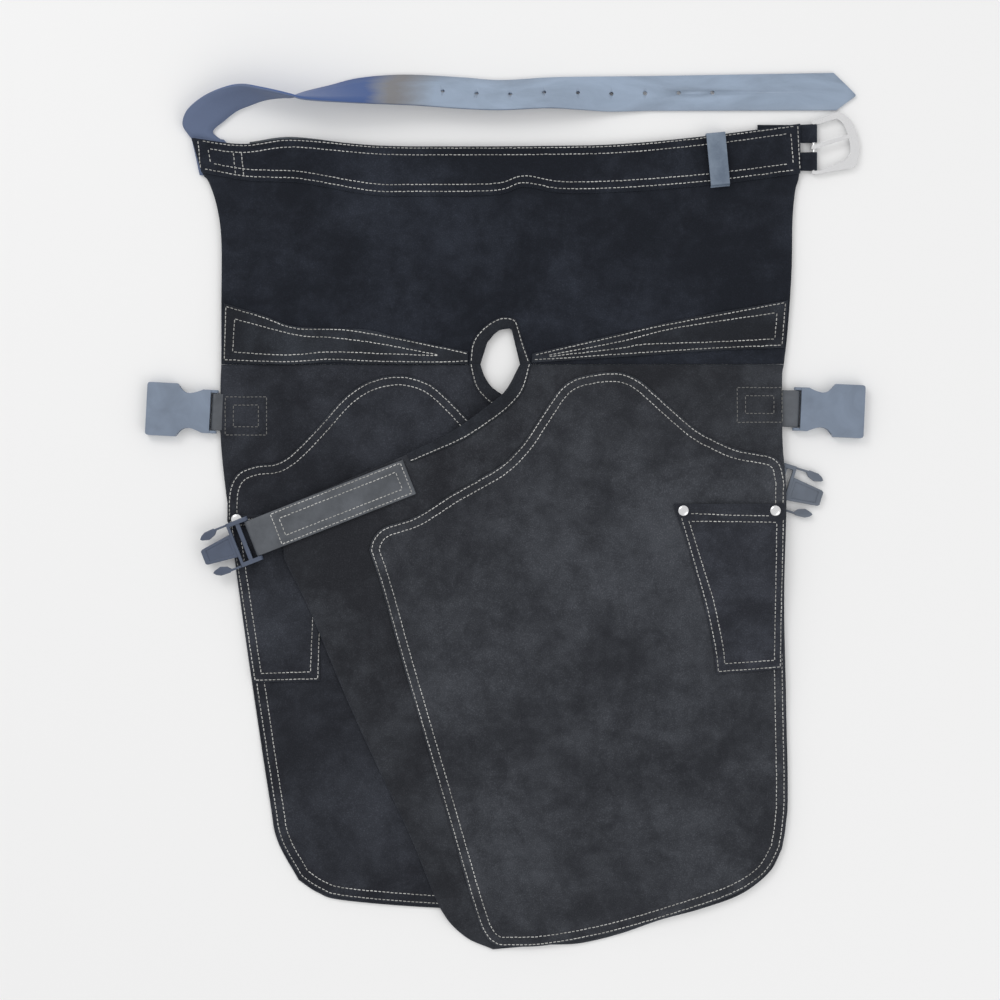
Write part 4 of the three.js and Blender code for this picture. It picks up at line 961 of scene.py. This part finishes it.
def belt_leather(name, pale, blue, brown, roughness, streak):
    """Belt leather: black, coloured pale grey-blue as a painted reflection, with a deeper blue painted sheen
    towards its turn and a brownish band where they meet.
    """
    material, tree, shader = material_of(name, pale, roughness, Specular_IOR_Level=0.55)
    place = node(tree, "ShaderNodeTexCoord")
    parts = node(tree, "ShaderNodeSeparateXYZ")
    tree.links.new(place.outputs["Object"], parts.inputs[0])
    stretch = node(tree, "ShaderNodeMapping")
    stretch.inputs["Scale"].default_value = (0.35, 1.0, 1.0)
    tree.links.new(place.outputs["Object"], stretch.inputs["Vector"])
    cloud = node(tree, "ShaderNodeTexNoise", Scale=26.0, Detail=6.0, Roughness=0.62, Distortion=0.7)
    cells = node(tree, "ShaderNodeTexVoronoi", Scale=streak)
    tree.links.new(stretch.outputs["Vector"], cloud.inputs["Vector"])
    tree.links.new(place.outputs["Object"], cells.inputs["Vector"])
    wander = node(tree, "ShaderNodeMath", operation="MULTIPLY_ADD")
    tree.links.new(cloud.outputs["Fac"], wander.inputs[0])
    wander.inputs[1].default_value = 0.05
    tree.links.new(parts.outputs["X"], wander.inputs[2])
    to_blue_painted_sheen = node(tree, "ShaderNodeMapRange", From_Min=-0.075, From_Max=-0.118,
                   interpolation_type="SMOOTHSTEP")
    tree.links.new(wander.outputs[0], to_blue_painted_sheen.inputs["Value"])
    into = node(tree, "ShaderNodeMapRange", From_Min=-0.118, From_Max=-0.092)
    out_of = node(tree, "ShaderNodeMapRange", From_Min=-0.045, From_Max=-0.085)
    both = node(tree, "ShaderNodeMath", operation="MULTIPLY")
    for k, span in enumerate((into, out_of)):
        tree.links.new(wander.outputs[0], span.inputs["Value"])
        tree.links.new(span.outputs["Result"], both.inputs[k])
    shade = node(tree, "ShaderNodeMapRange", From_Min=0.3, From_Max=0.7)
    tree.links.new(cloud.outputs["Fac"], shade.inputs["Value"])
    mottled = mixed(tree, shade.outputs["Result"], tuple(0.78 * c for c in pale),
                    tuple(1.18 * c for c in pale))
    toned = mixed(tree, to_blue_painted_sheen.outputs["Result"], mottled, blue)
    tree.links.new(mixed(tree, both.outputs[0], toned, brown), shader.inputs["Base Color"])
    bump = node(tree, "ShaderNodeBump", Strength=0.25, Distance=0.0005)
    tree.links.new(cells.outputs["Distance"], bump.inputs["Height"])
    tree.links.new(bump.outputs["Normal"], shader.inputs["Normal"])
    return material


# Painted sheen: the belt's black leather is coloured pale grey-blue and deep blue on its grain side, and
# slate-blue on its flesh side, for the light it mirrors.
BELT_GRAIN_PAINTED_SHEEN = belt_leather("belt_grain_side_painted_sheen", (0.275, 0.345, 0.450), (0.040, 0.088, 0.25),
                          (0.185, 0.185, 0.195), 0.40,
                          900.0)
BELT_FLESH_PAINTED_SHEEN = belt_leather("belt_flesh_side_painted_sheen", (0.135, 0.170, 0.250), (0.105, 0.140, 0.235),
                          (0.12, 0.15, 0.23), 0.75,
                          420.0)

stations = np.array(BELT_EDGES, float)
curved = [smooth(stations[: -TIP_SPANS, k], 10) for k in (0, 1)]
near, far = (np.vstack([c, stations[-TIP_SPANS:, k]]) for k, c in enumerate(curved))
near[:, 2] += BELT_THICK / 2
far[:, 2] += BELT_THICK / 2
belt = ribbon("belt_leather", near, far, BELT_THICK)


def punched(piece, cutters):
    """Cuts joined cutter solids out of a piece with a boolean, and keeps the result as its mesh."""
    cut = piece.modifiers.new("cut", "BOOLEAN")
    cut.operation = "DIFFERENCE"
    cut.solver = "EXACT"
    cut.object = cutters
    made = bpy.data.meshes.new_from_object(piece.evaluated_get(bpy.context.evaluated_depsgraph_get()))
    piece.modifiers.clear()
    piece.data = made
    bpy.data.objects.remove(cutters)


def column(spot, way, radius, reach, sides=20):
    """A round bar through spot along way: its points, and its faces counted from zero."""
    way = way / np.linalg.norm(way)
    across = np.cross(way, (1.0, 0, 0))
    across /= np.linalg.norm(across)
    other = np.cross(way, across)
    angle = np.linspace(0, 2 * np.pi, sides, endpoint=False)[:, None]
    ring = spot + radius * (np.cos(angle) * across + np.sin(angle) * other)
    return np.vstack([ring - reach * way, ring + reach * way])


def bars(name, columns):
    """One object of several round bars, each given by its two rings of points."""
    sides = len(columns[0]) // 2
    j = np.arange(sides)
    wall = np.stack([j, (j + 1) % sides, (j + 1) % sides + sides, j + sides], -1)
    faces = []
    for k in range(len(columns)):
        base = 2 * sides * k
        faces += (wall + base).tolist() + [(base + j[::-1]).tolist(), (base + sides + j).tolist()]
    made = mesh_object(name, np.vstack(columns), faces)
    repair = bmesh.new()
    repair.from_mesh(made.data)
    bmesh.ops.recalc_face_normals(repair, faces=repair.faces)
    repair.to_mesh(made.data)
    repair.free()
    return made


middle, half = (near + far) / 2, (far - near) / 2
flat_run = middle[:, 0] > HOLES_START
columns = []
for x in HOLES:
    spot = np.array([np.interp(x, middle[flat_run, 0], middle[flat_run, k]) for k in range(3)])
    tilt = np.array([np.interp(x, middle[flat_run, 0], half[flat_run, k]) for k in range(3)])
    columns.append(column(spot, np.cross((1.0, 0, 0), tilt), HOLE_RADIUS, HOLE_SIDES))
punched(belt, bars("hole_punches", columns))
stands_for(belt, "belt_strap", "waist", BELT_GRAIN_PAINTED_SHEEN)
belt.data.materials.append(BELT_FLESH_PAINTED_SHEEN)
centres = np.empty(3 * len(belt.data.polygons))
normals = np.empty(3 * len(belt.data.polygons))
belt.data.polygons.foreach_get("center", centres)
belt.data.polygons.foreach_get("normal", normals)
centres, normals = centres.reshape(-1, 3) / MM, normals.reshape(-1, 3)
nearest = np.argmin(np.hypot(centres[:, None, 0] - middle[None, :, 0],
                             centres[:, None, 1] - middle[None, :, 1]), 1)
face = np.cross(np.gradient(middle, axis=0), half)[nearest]
flesh = np.sum(face * normals, 1) < 0
belt.data.polygons.foreach_set("material_index", flesh.astype(np.int32))

# ---- Keeper, chape and waist buckle -------------------------------------------------------------------
# A loop of belt leather stands over the band to hold the strap's end. At the right end a doubled suede
# chape holds the buckle: a cast nickel frame and a prong that swings on the same bar.
KEEPER_SPOT, KEEPER_TURN, KEEPER_WIDTH, KEEPER_THICK = (221, 366.5, 0), 5.4, 20.0, 1.2
KEEPER_PATH = [(8, 0.6), (18, 0.6), (24.2, 0.7), (25.8, 2.2), (25.8, 6), (25.7, 10.3), (23.8, 11.8),
               (12, 12.0),
               (0, 12.0), (-14, 11.9), (-25.2, 11.6), (-27.7, 10.2), (-27.9, 8), (-28.1, 6.4), (-28.9, 5.75),
               (-29.8, 5.75)]
keeper_line = smooth(KEEPER_PATH, 6)
keeper_edges = [placed(np.stack([np.full(len(keeper_line), x), keeper_line[:, 0], keeper_line[:, 1]], -1),
                       KEEPER_SPOT, KEEPER_TURN) for x in (-KEEPER_WIDTH / 2, KEEPER_WIDTH / 2)]
keeper = ribbon("keeper_leather", *keeper_edges[::-1], KEEPER_THICK)
# Painted sheen: the keeper's black leather is given a blue-grey colour for the light it mirrors.
KEEPER_PAINTED_SHEEN = smooth_leather("keeper_leather", (0.105, 0.140, 0.195), (0.20, 0.25, 0.32), 0.38, 800.0,
                                30.0)
stands_for(keeper, "belt_keeper", "waist", KEEPER_PAINTED_SHEEN)

BUCKLE_BAR, BUCKLE_BAR_RADIUS = (321, 378, 4.0), 2.0
CHAPE_LENGTH, CHAPE_WIDTH = 58.0, 47.6
SLOT_BACK, SLOT_FRONT, SLOT_WIDTH, SLOT_DEPTH = -14, 8, 10.4, 12  # measured from the bar
chape = doubled("buckle_chape_leather", BUCKLE_BAR, 0, CHAPE_LENGTH, -BUCKLE_BAR[2], 13, CHAPE_WIDTH,
                BUCKLE_BAR_RADIUS, SUEDE)
slot_plan = ((SLOT_BACK, -1), (SLOT_FRONT, -1), (SLOT_FRONT, 1), (SLOT_BACK, 1))
slot_corners = np.array([(x, y, z) for z in (-SLOT_DEPTH, SLOT_DEPTH) for x, y in slot_plan], float)
slot_corners[:, 1] *= SLOT_WIDTH / 2
punched(chape, bars("slot_punch", [slot_corners + np.array(BUCKLE_BAR)]))
stands_for(chape, "buckle_chape", "waist", NAVY_SUEDE)

CAST_NICKEL = metal("cast_nickel", (0.90, 0.90, 0.91), 0.20, 500.0)
for part, ease, steps in (("buckle_frame", 1.3, 4), ("buckle_prong", 0.6, 3)):
    casting = eased_copy(part, part + "_casting", ease, steps)
    stands_for(casting, part, part, CAST_NICKEL)
